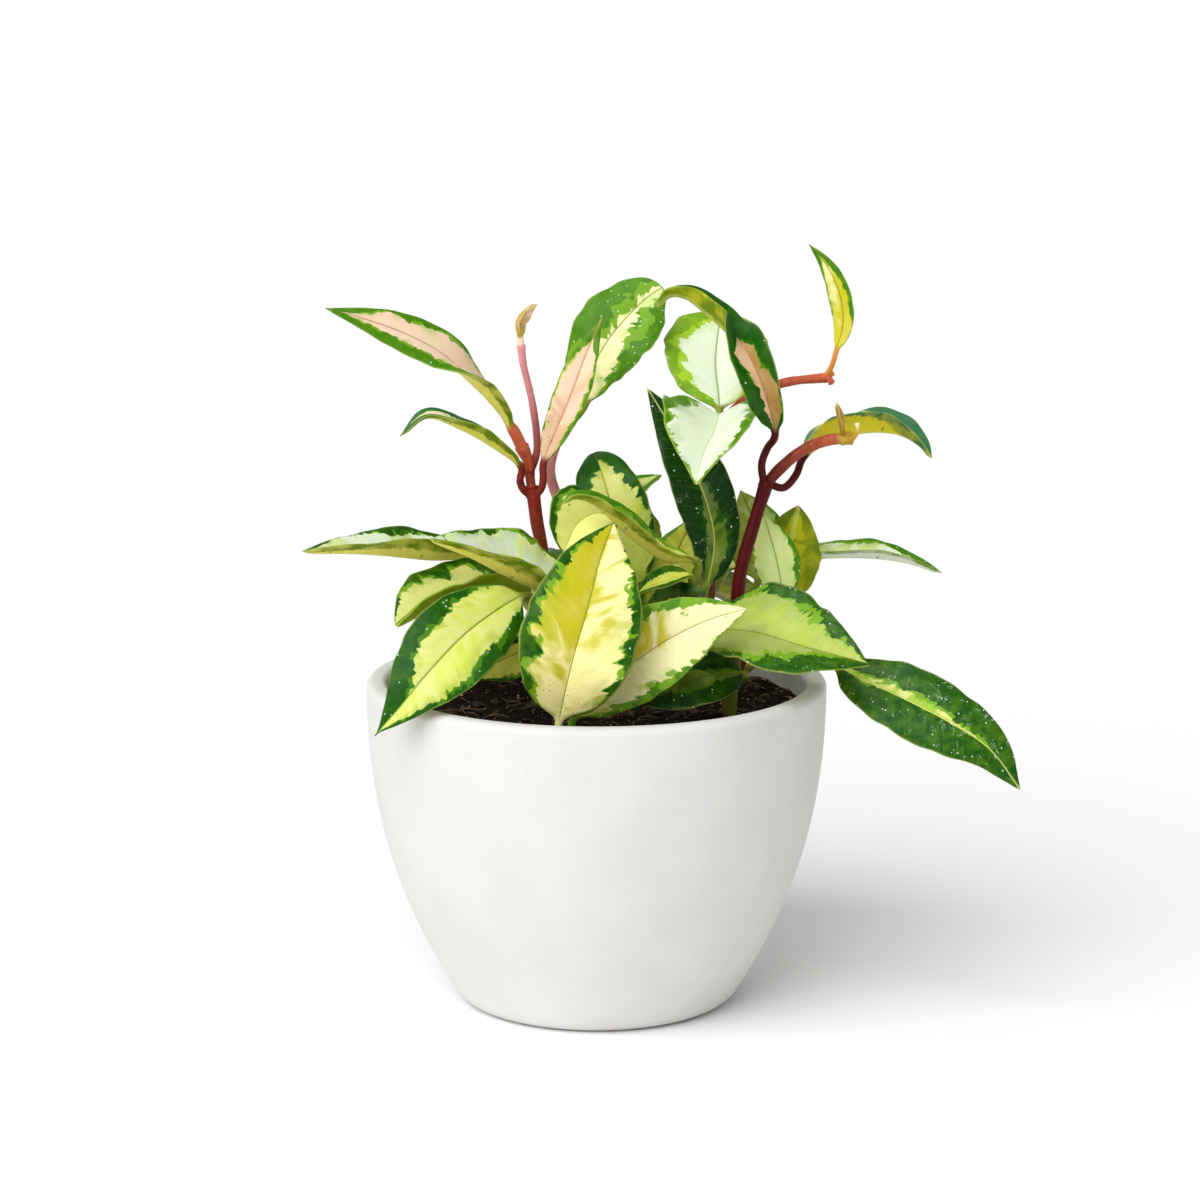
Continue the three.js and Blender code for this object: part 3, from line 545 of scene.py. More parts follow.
            left=(110, 110), right=(110, 110), core=Tint.BUD_BROWN, cloud=Tint.OCHRE, islands=0.0,
            flecks=0.0, under=Tint.BUD_BROWN, stalk=Tint.BUD_BROWN,
        ),
    ),
    "leaf_bud_left": Leaf(
        stalk=[(-22.6, 4, 199.5)],
        rib=[(-22.8, 4, 203), (-23.4, 4, 208), (-21.3, 3.5, 211.1), (-17.8, 3, 213.6)],
        face=[(1, -0.6, 0.2)], width=6, fold=[35], stalk_radius=1, slot=Slot.YOUNG_LEAF,
        marks=Marks(
            left=(110, 110), right=(110, 110), core=Tint.OCHRE, cloud=Tint.PEACH, islands=0.0, flecks=0.0,
            under=Tint.OCHRE, stalk=Tint.PEACH,
        ),
    ),
    "leaf_top_middle": Leaf(
        stalk=[(-12, 14, 171.5), (-7.5, 16, 176)],
        rib=[
            (-3.5, 18, 181), (-1.2, 20, 191), (3.4, 22, 199.8), (11.6, 25, 209.2), (15.9, 27, 212.9),
            (20.3, 28, 215.8),
        ],
        face=[(-0.35, -0.9, 0.2)], width=25.6, fold=[8], widest=0.58, tip=0.55,
        marks=Marks(
            left=(85, 80, 60, 15, 10, 12, 20, 30), right=(90, 75, 60, 50, 36, 30, 35, 50),
            core=Tint.PALE_CREAM, cloud=Tint.MINT, clouds=(20, 60), dark=Tint.MID_GREEN, teeth=0.2,
            band=0.5, islands=0.1, flecks=0.9, rib_width=0.35,
        ),
    ),
    "leaf_blush": Leaf(
        stalk=[(-19, 0, 155.5), (-16.5, -0.5, 158.5), (-16, -0.5, 162)],
        rib=[
            (-16, 0, 165.5), (-9.5, 1, 181.5), (-6.5, 2, 189), (-3.5, 4, 197), (-1, 5, 203), (1.5, 6, 209),
        ],
        face=[(-0.2, -1, 0.1)], width=11, fold=[14], widest=0.5,
        marks=Marks(
            left=(95, 95, 92, 90, 88, 84, 65, -10, -30), right=(90, 80, 70, 68, 75, 85, 85, 10, -30),
            core=Tint.BLUSH, cloud=Tint.PINK_TAN, clouds=(90, 60, 30, 20), mid=Tint.DULL_LIME,
            dark=Tint.MID_GREEN, band=0.1, islands=0, flecks=0.1, specks=0.5, rib=Tint.RIB_PINK,
            rib_width=0.4, stalk=Tint.STALK_RED,
        ),
    ),
    "leaf_upper_left": Leaf(
        stalk=[(-22.3, 0, 170.5)],
        rib=[
            (-24.5, -2, 175.5), (-28.2, -4, 181.6), (-33, -7, 187.8), (-38.6, -10, 193.7),
            (-46.6, -13, 201.1), (-57, -16, 207.2), (-68, -18, 211.5), (-79.3, -20, 215),
        ],
        face=[(0.7, 0.3, 0.6), (0.5, 0.1, 0.8), (0.1, -0.7, 0.7), (-0.1, -1, 0.4), (-0.1, -1, 0.4)],
        width=15.2, fold=[40, 36, 18, 12, 12], stalk_radius=1.8,
        marks=Marks(
            left=(50, 50, 55, 55, 50, 45, 30, -10), right=(80, 80, 70, 75, 85, 60, 85, 40, -10),
            core=Tint.BLUSH, cloud=Tint.MINT, clouds=(40, 30, 20), dark=Tint.MID_GREEN, islands=0.1,
            flecks=0.15, under=Tint.BUTTER, stalk=Tint.SHOOT_CORAL,
        ),
    ),
    "leaf_left_drooping": Leaf(
        stalk=[(-19, 0, 155.5), (-22, -1, 158), (-23, -2, 161)],
        rib=[
            (-22.5, -3, 165), (-29.5, -6, 171.5), (-41, -10, 178.8), (-50.5, -12, 182), (-58.2, -14, 176.3),
        ],
        face=[(0.2, 0.1, 1), (0.1, 0, 1), (-0.4, -0.7, 0.8)], width=9, fold=[42, 40, 20],
        marks=Marks(
            left=(50, 50, 50, 50, 0), right=(50, 50, 50, 50, 0), core=Tint.PINK, mid=Tint.MID_GREEN,
            dark=Tint.BLUE_GREEN, flecks=0.2, under=Tint.PALE_OLIVE, stalk=Tint.STALK_RED,
        ),
    ),
    "leaf_right_back": Leaf(
        stalk=[(49.5, 11.3, 110.5), (53, 17, 121)],
        rib=[(59.5, 18, 132.5), (68, 19, 133.8), (83.5, 20, 133.9), (96, 21, 132.1), (106.7, 22, 128.1)],
        face=[(0, -0.2, 1)], width=12.6, fold=[38],
        marks=Marks(
            left=(90, 85, 60, 80, 30, -20), right=(90, 85, 85, 70), core=Tint.WHITE_MINT, cloud=Tint.MINT,
            dark=Tint.MID_GREEN, under=Tint.WHITE_MINT,
        ),
    ),
    "leaf_right_upright": Leaf(
        stalk=[(52.9, 10, 115.5), (57, 8.5, 117.5)],
        rib=[(60, 8, 122.5), (58.7, 9, 135), (61.6, 12, 150.8)], face=[(0.2, 1, 0.2)], width=20, fold=[14],
        tip=0.75,
        marks=Marks(left=(60, 50, 50, 30), right=(60, 50, 40, 20), dark=Tint.MID_GREEN, islands=1),
    ),
    "leaf_right_cream": Leaf(
        stalk=[(50, 11.1, 111.3), (56, 5, 115.5)], rib=[(56.5, 0, 123), (54.5, 1, 136), (50.5, 6, 149.5)],
        face=[(0.1, -1, 0.2)], width=14.5, fold=[8],
        marks=Marks(
            left=(95, 95, 95), right=(80, 78, 66, 70, 85, 90), core=Tint.PALE_LIME, cloud=Tint.MINT,
            clouds=(90, 60), dark=Tint.MID_GREEN, islands=0,
        ),
    ),
    "leaf_right_pale": Leaf(
        stalk=[(34, 18.4, 116), (43, 18, 121)], rib=[(49.5, 18, 125.5), (49, 18, 141.5), (44.3, 21, 154)],
        face=[(0, -1, 0.2)], width=19, fold=[10],
        marks=Marks(
            left=(90, 90), right=(90, 85), core=Tint.DULL_LIME, cloud=Tint.MINT, dark=Tint.MID_GREEN,
        ),
    ),
    "leaf_small_behind": Leaf(
        stalk=[(32, 19.5, 100), (25, 16, 105)], rib=[(20.7, 14, 111), (22.2, 14, 129), (30, 15, 147)],
        face=[(0, -1, 0.2)], width=18, fold=[10],
        marks=Marks(left=(80, 80), right=(80, 80), cloud=Tint.OLIVE, dark=Tint.MID_GREEN),
    ),
    "leaf_behind_tip": Leaf(
        stalk=[(-6.7, 16, 132), (-3, 20, 139)], rib=[(0, 21, 144), (10, 24, 152), (20, 26, 158)],
        face=[(0, -0.4, 1)], width=14, fold=[25],
        marks=Marks(left=(60, 50), right=(60, 50), core=Tint.MINT, dark=Tint.MID_GREEN),
    ),
    "leaf_back_left": Leaf(
        stalk=[(-4.6, 18, 106), (-8, 21, 111)],
        rib=[(-13, 24, 114), (-27, 34, 119), (-41, 43, 117), (-53, 50, 108)], face=[(0, 0.2, 1)], width=27,
        fold=[15],
        marks=Marks(left=(50, 50, 40), right=(60, 60, 40), flecks=0.5),
    ),
    "leaf_back_low_left": Leaf(
        stalk=[(-15, 3.5, 104), (-20, 8, 106)],
        rib=[(-25, 10, 107), (-37, 14, 109), (-48, 20, 108), (-58, 25, 104)], face=[(0, 0.1, 1)], width=24,
        fold=[15],
        marks=Marks(left=(80, 75, 70), right=(75, 80, 70), core=Tint.CREAM),
    ),
    "leaf_back_hanging": Leaf(
        stalk=[(8, 38.7, 101), (2, 44, 106)],
        rib=[(-2, 50, 110), (-8, 62, 113), (-13, 74, 108), (-16, 84, 96)], face=[(-0.2, 0.6, 0.8)],
        width=28, fold=[12],
        marks=Marks(left=(75, 80, 80), right=(80, 70, 75), core=Tint.CREAM, cloud=Tint.YELLOW),
    ),
    "leaf_back_right": Leaf(
        stalk=[(7.7, 37.7, 108), (14, 42, 112)],
        rib=[(20, 45, 114), (32, 54, 117), (43, 64, 113), (50, 74, 104)], face=[(0.1, 0.5, 0.9)], width=28,
        fold=[12],
        marks=Marks(left=(40, 45, 30), right=(50, 40, 30), flecks=0.6, scrawl=0.4),
    ),
    "leaf_back_upright": Leaf(
        stalk=[(6.2, 36.2, 118.5), (7, 36, 122)], rib=[(8, 36, 126), (8, 38, 138), (6, 43, 150)],
        face=[(0, 1, 0.3)], width=25, fold=[12],
        marks=Marks(left=(80, 80, 70, 20), right=(80, 75, 60, 20), core=Tint.PALE_LIME),
    ),
    "leaf_back_far_right": Leaf(
        stalk=[(46.5, 12.4, 105.5), (50, 20, 109)],
        rib=[(56, 26, 110), (61, 38, 112), (64, 50, 108), (65, 60, 101)], face=[(0.5, 0.3, 0.8)], width=24,
        fold=[12],
        marks=Marks(left=(80, 78, 85), right=(75, 80, 80), core=Tint.MINT),
    ),
    "leaf_back_low_right": Leaf(
        stalk=[(8, 40, 95), (13, 44, 98)],
        rib=[(17, 46, 101), (25, 53, 105), (33, 62, 104.5), (39, 72, 96)], face=[(0.2, 0.5, 0.9)], width=22,
        fold=[12],
        marks=Marks(left=(30, 30, 10), right=(40, 30, 10), core=Tint.DULL_LIME, flecks=0.6),
    ),
    "leaf_back_hanging_left": Leaf(
        stalk=[(-4, 19, 95), (-10, 24, 98)],
        rib=[(-15, 28, 101), (-28, 39, 106), (-41, 51, 106.5), (-51, 61, 97)], face=[(-0.3, 0.5, 0.9)],
        width=27, fold=[12],
        marks=Marks(left=(76, 70, 80), right=(70, 76, 80), core=Tint.PALE_LIME),
    ),
    "leaf_back_side_right": Leaf(
        stalk=[(42, 14, 96), (47, 17, 99)], rib=[(51, 19, 102), (61, 22, 106), (71, 25, 105), (80, 28, 96)],
        face=[(0.3, 0.2, 0.9)], width=20, fold=[12],
        marks=Marks(left=(40, 30, 20), right=(50, 40, 20), flecks=0.6),
    ),
    "leaf_back_mid_left": Leaf(
        stalk=[(-5.2, 17, 124), (-10, 24, 127)],
        rib=[(-13, 28, 128), (-20, 38, 130), (-26, 50, 127), (-30, 60, 119)], face=[(-0.2, 0.5, 0.9)],
        width=24, fold=[14],
        marks=Marks(left=(35, 40, 20), right=(40, 35, 20), flecks=0.5),
    ),
    "leaf_back_mid_right": Leaf(
        stalk=[(34.6, 18.1, 121), (38, 24, 125)],
        rib=[(40, 29, 127), (45, 38, 131), (49, 48, 130), (52, 58, 122)], face=[(0.3, 0.5, 0.9)], width=24,
        fold=[14],
        marks=Marks(left=(80, 80, 75), right=(75, 80, 80), core=Tint.PALE_CREAM),
    ),
}


@dataclass(frozen=True)
class Mottle:
    """Soft noise: the size of its features, how much finer detail it has and how far it is bent."""

    size: float
    detail: float = 2.0
    bend: float = 0.0


class Graph:
    """Adds nodes to one node tree and joins their sockets."""

    def __init__(self, tree: bpy.types.NodeTree) -> None:
        """Starts on a tree.

        Args:
            tree: The tree that gets the nodes.
        """
        self.tree = tree

    def feed(self, socket: Socket, value: object) -> None:
        """Links a socket to an input, or sets the input's own value.

        Args:
            socket: The input.
            value: A socket, a number, a vector, a colour, an object or a material.
        """
        if isinstance(value, bpy.types.NodeSocket):
            self.tree.links.new(value, socket)
        elif value is not None:
            socket.default_value = value

    def add(self, kind: str, *values: object, **settings: object) -> bpy.types.Node:
        """Adds a node and feeds its first inputs in order.

        Args:
            kind: The node's type.
            values: What goes into its inputs, with None for one that is left alone.
            settings: The node's own properties.

        Returns:
            The node.
        """
        node = self.tree.nodes.new(kind)
        for key, value in settings.items():
            setattr(node, key, value)
        for socket, value in zip(node.inputs, values):
            self.feed(socket, value)
        return node

    def math(self, operation: str, *values: Socket | float) -> Socket:
        """The result of one Math node on up to three values."""
        return self.add("ShaderNodeMath", *values, operation=operation).outputs[0]

    def times(self, first: Socket | float, second: Socket | float) -> Socket:
        """One value times another."""
        return self.math("MULTIPLY", first, second)

    def plus(self, first: Socket | float, second: Socket | float) -> Socket:
        """One value plus another."""
        return self.math("ADD", first, second)

    def affine(self, value: Socket, factor: Socket | float, shift: Socket | float) -> Socket:
        """A value times a factor, plus a shift."""
        return self.math("MULTIPLY_ADD", value, factor, shift)

    def centred(self, value: Socket, reach: float) -> Socket:
        """A value about 0.5 as one about 0 that is reach times as large."""
        return self.affine(value, reach, -reach / 2)

    def blend(self, factor: Socket | float, first: object, second: object) -> Socket:
        """A colour between two, first where the factor is 0 and second where it is 1.

        Args:
            factor: How much of the second shows.
            first: The first colour.
            second: The second one.

        Returns:
            The blend.
        """
        node = self.add("ShaderNodeMix", data_type="RGBA")
        for index, value in ((0, factor), (6, first), (7, second)):
            self.feed(node.inputs[index], value)
        return node.outputs[2]

    def ramp(self, value: Socket, low: Socket | float, high: Socket | float) -> Socket:
        """A smooth step from 0 at low to 1 at high, which may be the other way round."""
        node = self.add("ShaderNodeMapRange", value, low, high, interpolation_type="SMOOTHSTEP")
        return node.outputs[0]

    def above(self, value: Socket, limit: Socket | float) -> Socket:
        """Whether a value is greater than a limit, in a Geometry Nodes tree."""
        node = self.add("FunctionNodeCompare", value, limit, operation="GREATER_THAN", data_type="FLOAT")
        return node.outputs[0]

    def triple(self, x: object, y: object, z: object = 0.0) -> Socket:
        """A vector from three values."""
        return self.add("ShaderNodeCombineXYZ", x, y, z).outputs[0]

    def mottle(self, place: Socket, look: Mottle) -> Socket:
        """Soft noise about 0.5, with features of a size in the units of place.

        Args:
            place: Where it is read.
            look: Its size and form.

        Returns:
            The noise, from 0 to 1.
        """
        node = self.add("ShaderNodeTexNoise", place)
        for name, value in (("Scale", 1 / look.size), ("Detail", look.detail), ("Distortion", look.bend)):
            node.inputs[name].default_value = value
        return node.outputs["Fac"]

    def cells(self, place: Socket, size: float) -> tuple[Socket, Socket]:
        """Distances to scattered points about a size apart, and a random value for each point.

        Args:
            place: Where they are read.
            size: Their gap.

        Returns:
            The distance to the nearest one, and its random number.
        """
        node = self.add("ShaderNodeTexVoronoi", place)
        node.inputs["Scale"].default_value = 1 / size
        value = self.add("ShaderNodeSeparateColor", node.outputs["Color"]).outputs[0]
        return node.outputs["Distance"], value

    def attribute(self, name: str) -> bpy.types.Node:
        """An Attribute node for a named attribute of the piece."""
        return self.add("ShaderNodeAttribute", attribute_name=name, attribute_type="GEOMETRY")

    def parts(self, vector: Socket) -> tuple[Socket, Socket, Socket]:
        """The three values of a vector."""
        return tuple(self.add("ShaderNodeSeparateXYZ", vector).outputs)


def new_group(
    name: str, kind: str, takes: dict[str, tuple[str, object]], gives: dict[str, str]
) -> tuple[bpy.types.NodeTree, Graph, dict[str, Socket], bpy.types.Node]:
    """Starts a node group with named inputs and outputs.

    Args:
        name: The group's name.
        kind: The tree's type.
        takes: The inputs, each with its socket type and its usual value.
        gives: The outputs' socket types by name.

    Returns:
        The tree, a graph on it, its input sockets by name and its output node.
    """
    tree = bpy.data.node_groups.new(name, kind)
    for label, (socket_type, value) in takes.items():
        socket = tree.interface.new_socket(name=label, in_out="INPUT", socket_type=socket_type)
        if value is not None:
            socket.default_value = value
    for label, socket_type in gives.items():
        tree.interface.new_socket(name=label, in_out="OUTPUT", socket_type=socket_type)
    graph = Graph(tree)
    sockets = {socket.name: socket for socket in graph.add("NodeGroupInput").outputs}
    return tree, graph, sockets, graph.add("NodeGroupOutput")


class BladePattern:
    """The shader group that marks every blade: ragged green margins, veins, flecks and an underside.

    Sizes and gaps are in millimetres on the blade. A step says where a mask starts and where it is full,
    and a share how much of one colour lies over another.
    """

    STALK_STEP = (0.25, 0.95)
    SIDE_SHIFT = 13.7
    BROAD = Mottle(8.0)
    VEIN_SLANT = 0.6
    VEIN_GAP = 3.4
    VEIN_WANDER = 0.6
    VEIN_STEP = (0.07, 0.0)
    VEIN_SHARE = 0.05
    RIB_CORE = 0.35
    RIB_SHARE = 0.8
    TOOTH_GAP = 2.3
    TOOTH_REACH = 1.15
    TOOTH_TAPER = 0.65
    TOOTH_MIDDLE = 0.4
    FINE_TOOTH_GAP = 0.9
    FINE_TOOTH_REACH = 0.5
    BROAD_REACH = 2.2
    STROKES = Mottle(7.0)
    STROKE_STRETCH = 3.0
    STROKE_REACH = 1.6
    MARGIN_STEP = (-0.012, 0.014)
    CLOUDS = Mottle(7.5, 4.0, 1.1)
    CLOUD_STRETCH = 0.6
    CLOUD_STEP = (0.4, 0.62)
    TONE_REACH = 0.6
    LIGHT = Mottle(11.0, 3.0)
    LIGHT_STEP = (0.35, 0.7)
    LIGHT_SHARE = 0.16
    FRINGE_WIDTH = 0.4
    FRINGE_STEP = (0.42, 0.6)
    FRINGE_SHARE = 0.32
    ISLANDS = Mottle(4.4)
    ISLAND_SHIFT = 31.0
    ISLAND_LEVEL = (-0.16, 0.8)
    ISLAND_NEAR = 0.3
    ISLAND_NEAR_DROP = -0.17
    ISLAND_EDGE = 0.03
    ISLAND_SHARE = 0.9
    BANDS = Mottle(5.2, 1.0)
    BAND_STEP = (0.4, 0.62)
    BAND_TEETH = 0.06
    DARK_STEP = (-0.01, 0.04)
    SHADE = Mottle(3.4, 4.0)
    SHADE_STEP = (0.34, 0.72)
    SHADE_SHARE = 0.3
    RIM_STEP = (0.955, 0.985)
    RIM_SHARE = 0.3
    FLECK_GAP = 2.2
    FLECK_STEP = (0.14, 0.07)
    FLECKS_ON_GREEN = (0.85, 0.1)
    SWIRL = Mottle(5.0, 2.0, 2.4)
    SWIRL_HALF = 0.012
    SCRAWLS = Mottle(3.1, 1.0)
    SCRAWL_STEP = (0.56, 0.66)
    SCRAWL_SHARE = 0.75
    SPECK_GAP = 1.9
    SPECK_STEP = (0.15, 0.08)
    SPECK_FADE = (26.0, 4.0)
    SPECK_SHARE = 0.85
    UNDER_STEP = (-0.12, 0.05)
    UNDER_MOTTLE = Mottle(6.0, 3.0)
    UNDER_MOTTLE_STEP = (0.34, 0.62)
    UNDER_MOTTLE_SHARE = (0.55, 0.45)
    UNDER_BLOTCHES = Mottle(5.0)
    UNDER_BLOTCH_STRETCH = (1.6, 0.7)
    UNDER_BLOTCH_LEVEL = (-0.12, 0.66)
    UNDER_BLOTCH_EDGE = 0.08
    UNDER_BLOTCH_SHARE = 0.7
    UNDER_VEIN_SHARE = 0.12
    UNDER_RIB_WIDTH = 3.0
    UNDER_RIB_SHARE = 0.4
    GRAIN = Mottle(0.55)
    GRAIN_HEIGHT = 0.035
    DIMPLES = Mottle(2.4)
    DIMPLE_HEIGHT = 0.16
    VEIN_DEPTH = 0.05
    RIB_DEPTH = 0.12
    RIB_DEPTH_WIDTH = 1.4
    GLOSS = Mottle(5.0, 3.0)
    GLOSS_SPREAD = 0.14
    UNDER_ROUGHNESS = 0.46
    UPPER_SMOOTHER = -0.16

    def __init__(self) -> None:
        """Builds the group once."""
        takes = {"Seed": (FLOAT, 0.0)}
        for label, value in Marks(left=(), right=()).inputs.items():
            takes[label] = (FLOAT if isinstance(value, float) else COLOUR, value)
        gives = {"Colour": COLOUR, "Relief": FLOAT, "Roughness": FLOAT}
        self.tree, self.graph, self.takes, out = new_group("blade marks", "ShaderNodeTree", takes, gives)
        self._read_places()
        self._measure_margin()
        top = self._upper_colour()
        below = self._underside_colour()
        graph = self.graph
        skin = graph.blend(self.upper, below, top)
        colour = graph.blend(graph.ramp(self.stalk, *self.STALK_STEP), skin, self.takes["Stalk"])
        graph.feed(out.inputs["Colour"], colour)
        graph.feed(out.inputs["Relief"], self._relief())
        gloss = graph.mottle(self.place, self.GLOSS)
        matt = graph.affine(self.upper, self.UPPER_SMOOTHER, self.UNDER_ROUGHNESS)
        graph.feed(out.inputs["Roughness"], graph.affine(gloss, self.GLOSS_SPREAD, matt))

    def _read_places(self) -> None:
        """Reads where a point lies on its blade, in millimetres and shares."""
        graph = self.graph
        self.along, self.across, self.edge = graph.parts(graph.attribute("lay").outputs["Vector"])
        self.margin, self.upper, self.stalk = graph.parts(graph.attribute("marks").outputs["Vector"])
        self.tone = graph.attribute("tone").outputs["Fac"]
        self.off_rib = graph.math("ABSOLUTE", self.across)
        self.right_side = graph.math("GREATER_THAN", self.across, 0.0)
        self.seed = graph.affine(self.right_side, self.SIDE_SHIFT, self.takes["Seed"])
        self.place = graph.triple(self.along, self.across, self.seed)
        self.vein = graph.affine(self.off_rib, -self.VEIN_SLANT, self.along)
        self.broad = graph.mottle(self.place, self.BROAD)

    def _tooth(self, gap: float) -> Socket:
        """One tooth for each stretch of veins, of a random length and pointed in its middle.

        Args:
            gap: The stretch for one tooth.

        Returns:
            How far it reaches.
        """
        graph = self.graph
        place = graph.plus(graph.times(self.vein, 1 / gap), self.broad)
        number = graph.math("FLOOR", place)
        node = graph.add("ShaderNodeTexWhiteNoise", graph.triple(number, self.seed), noise_dimensions="2D")
        inside = graph.math("ABSOLUTE", graph.affine(graph.math("FRACT", place), 2.0, -1.0))
        point = graph.affine(inside, -self.TOOTH_TAPER, 1.0)
        return graph.times(graph.math("SUBTRACT", node.outputs[0], self.TOOTH_MIDDLE), point)

    def _measure_margin(self) -> None:
        """Works out how far each point is past the ragged border of the green margin."""
        graph = self.graph
        self.fine_tooth = self._tooth(self.FINE_TOOTH_GAP)
        lay = graph.triple(graph.times(self.vein, self.STROKE_STRETCH), self.off_rib, self.seed)
        strokes = graph.mottle(lay, self.STROKES)
        rough = graph.centred(self.broad, self.BROAD_REACH)
        rough = graph.plus(rough, graph.centred(strokes, self.STROKE_REACH))
        rough = graph.plus(rough, graph.times(self._tooth(self.TOOTH_GAP), self.TOOTH_REACH))
        rough = graph.plus(rough, graph.times(self.fine_tooth, self.FINE_TOOTH_REACH))
        self.past = graph.affine(rough, self.takes["Teeth"], self.margin)
        self.green = graph.ramp(self.past, *self.MARGIN_STEP)

    def _lines(self) -> Socket:
        """Thin side veins, faint and evenly set along the midrib.

        Returns:
            Their mask.
        """
        graph = self.graph
        place = graph.affine(self.vein, 1 / self.VEIN_GAP, graph.times(self.broad, self.VEIN_WANDER))
        off = graph.math("ABSOLUTE", graph.math("SUBTRACT", graph.math("FRACT", place), 0.5))
        return graph.ramp(off, *self.VEIN_STEP)

    def _midrib(self, wide: float) -> Socket:
        """The midrib's line.

        Args:
            wide: How many times its own width.

        Returns:
            Its mask.
        """
        graph = self.graph
        width = graph.times(self.takes["Rib Width"], wide)
        return graph.ramp(self.off_rib, width, graph.times(width, self.RIB_CORE))

    def _core_colour(self) -> Socket:
        """The pale core: clouds of a second colour, lighter patches and a green fringe near the margin.

        Returns:
            The colour.
        """
        graph, takes = self.graph, self.takes
        lay = graph.triple(self.vein, graph.times(self.off_rib, self.CLOUD_STRETCH), self.seed)
        cloudy = graph.mottle(lay, self.CLOUDS)
        cloud = graph.plus(cloudy, graph.centred(self.tone, self.TONE_REACH))
        cloud = graph.ramp(cloud, *self.CLOUD_STEP)
        core = graph.blend(cloud, takes["Core"], takes["Cloud"])
        light = graph.ramp(graph.mottle(self.place, self.LIGHT), *self.LIGHT_STEP)
        core = graph.blend(graph.times(light, self.LIGHT_SHARE), core, Tint.PALE_CREAM.linear)
        near = graph.ramp(self.past, -self.FRINGE_WIDTH, 0.0)
        fringe = graph.times(near, graph.ramp(cloudy, *self.FRINGE_STEP))
        return graph.blend(graph.times(fringe, self.FRINGE_SHARE), core, takes["Mid"])

    def _leafy(self) -> Socket:
        """Where the blade is green: its margin, and islands that are more common near it.

        Returns:
            The green's mask.
        """
        graph = self.graph
        lay = graph.triple(self.vein, self.off_rib, graph.plus(self.seed, self.ISLAND_SHIFT))
        patch = graph.mottle(lay, self.ISLANDS)
        level = graph.affine(self.takes["Islands"], *self.ISLAND_LEVEL)
        near = graph.ramp(self.past, -self.ISLAND_NEAR, 0.0)
        level = graph.affine(near, self.ISLAND_NEAR_DROP, level)
        island = graph.ramp(patch, level, graph.plus(level, self.ISLAND_EDGE))
        return graph.math("MAXIMUM", self.green, graph.times(island, self.ISLAND_SHARE))

    def _dark_band(self) -> Socket:
        """Where the margin is dark: a band along the edge, left out where it is broken.

        Returns:
            How far a point is past its border.
        """
        graph = self.graph
        band = graph.ramp(graph.mottle(self.place, self.BANDS), *self.BAND_STEP)
        past = graph.math("SUBTRACT", self.past, graph.times(band, self.takes["Band"]))
        return graph.affine(self.fine_tooth, self.BAND_TEETH, past)

    def _upper_colour(self) -> Socket:
        """The upper side's colour.

        Returns:
            The colour.
        """
        graph, takes = self.graph, self.takes
        core = self._core_colour()
        colour = graph.blend(self._leafy(), core, takes["Mid"])
        past = self._dark_band()
        shade = graph.ramp(graph.mottle(self.place, self.SHADE), *self.SHADE_STEP)
        deep = graph.blend(graph.times(shade, self.SHADE_SHARE), takes["Dark"], takes["Mid"])
        colour = graph.blend(graph.ramp(past, *self.DARK_STEP), colour, deep)
        colour = graph.blend(graph.times(self._lines(), self.VEIN_SHARE), colour, takes["Rib"])
        colour = graph.blend(graph.times(self._midrib(1.0), self.RIB_SHARE), colour, takes["Rib"])
        colour = graph.blend(self._flecks(), colour, Tint.SILVER.linear)
        colour = graph.blend(self._specks(), colour, Tint.SPECK.linear)
        rim = graph.times(graph.ramp(self.edge, *self.RIM_STEP), self.RIM_SHARE)
        return graph.blend(rim, colour, Tint.PALE_LIME.linear)

    def _flecks(self) -> Socket:
        """Silver dots on the green, and scrawls on the darkest leaves.

        Returns:
            Their mask.
        """
        graph = self.graph
        distance, pick = graph.cells(self.place, self.FLECK_GAP)
        chosen = graph.math("LESS_THAN", pick, self.takes["Flecks"])
        dot = graph.times(graph.ramp(distance, *self.FLECK_STEP), chosen)
        dot = graph.times(dot, graph.affine(self.green, *self.FLECKS_ON_GREEN))
        swirl = graph.math("SUBTRACT", graph.mottle(self.place, self.SWIRL), 0.5)
        line = graph.ramp(graph.math("ABSOLUTE", swirl), self.SWIRL_HALF, 0.0)
        patch = graph.ramp(graph.mottle(self.place, self.SCRAWLS), *self.SCRAWL_STEP)
        scrawl = graph.times(graph.times(line, patch), self.takes["Scrawl"])
        scrawl = graph.times(scrawl, self.green)
        return graph.math("MAXIMUM", dot, graph.times(scrawl, self.SCRAWL_SHARE))

    def _specks(self) -> Socket:
        """Small dark specks, most of them near the blade's base.

        Returns:
            Their mask.
        """
        graph = self.graph
        moved = graph.triple(self.across, self.along, self.seed)
        distance, pick = graph.cells(moved, self.SPECK_GAP)
        low = graph.ramp(self.along, *self.SPECK_FADE)
        chosen = graph.math("LESS_THAN", pick, graph.times(low, self.takes["Specks"]))
        dot = graph.times(graph.ramp(distance, *self.SPECK_STEP), chosen)
        return graph.times(dot, self.SPECK_SHARE)

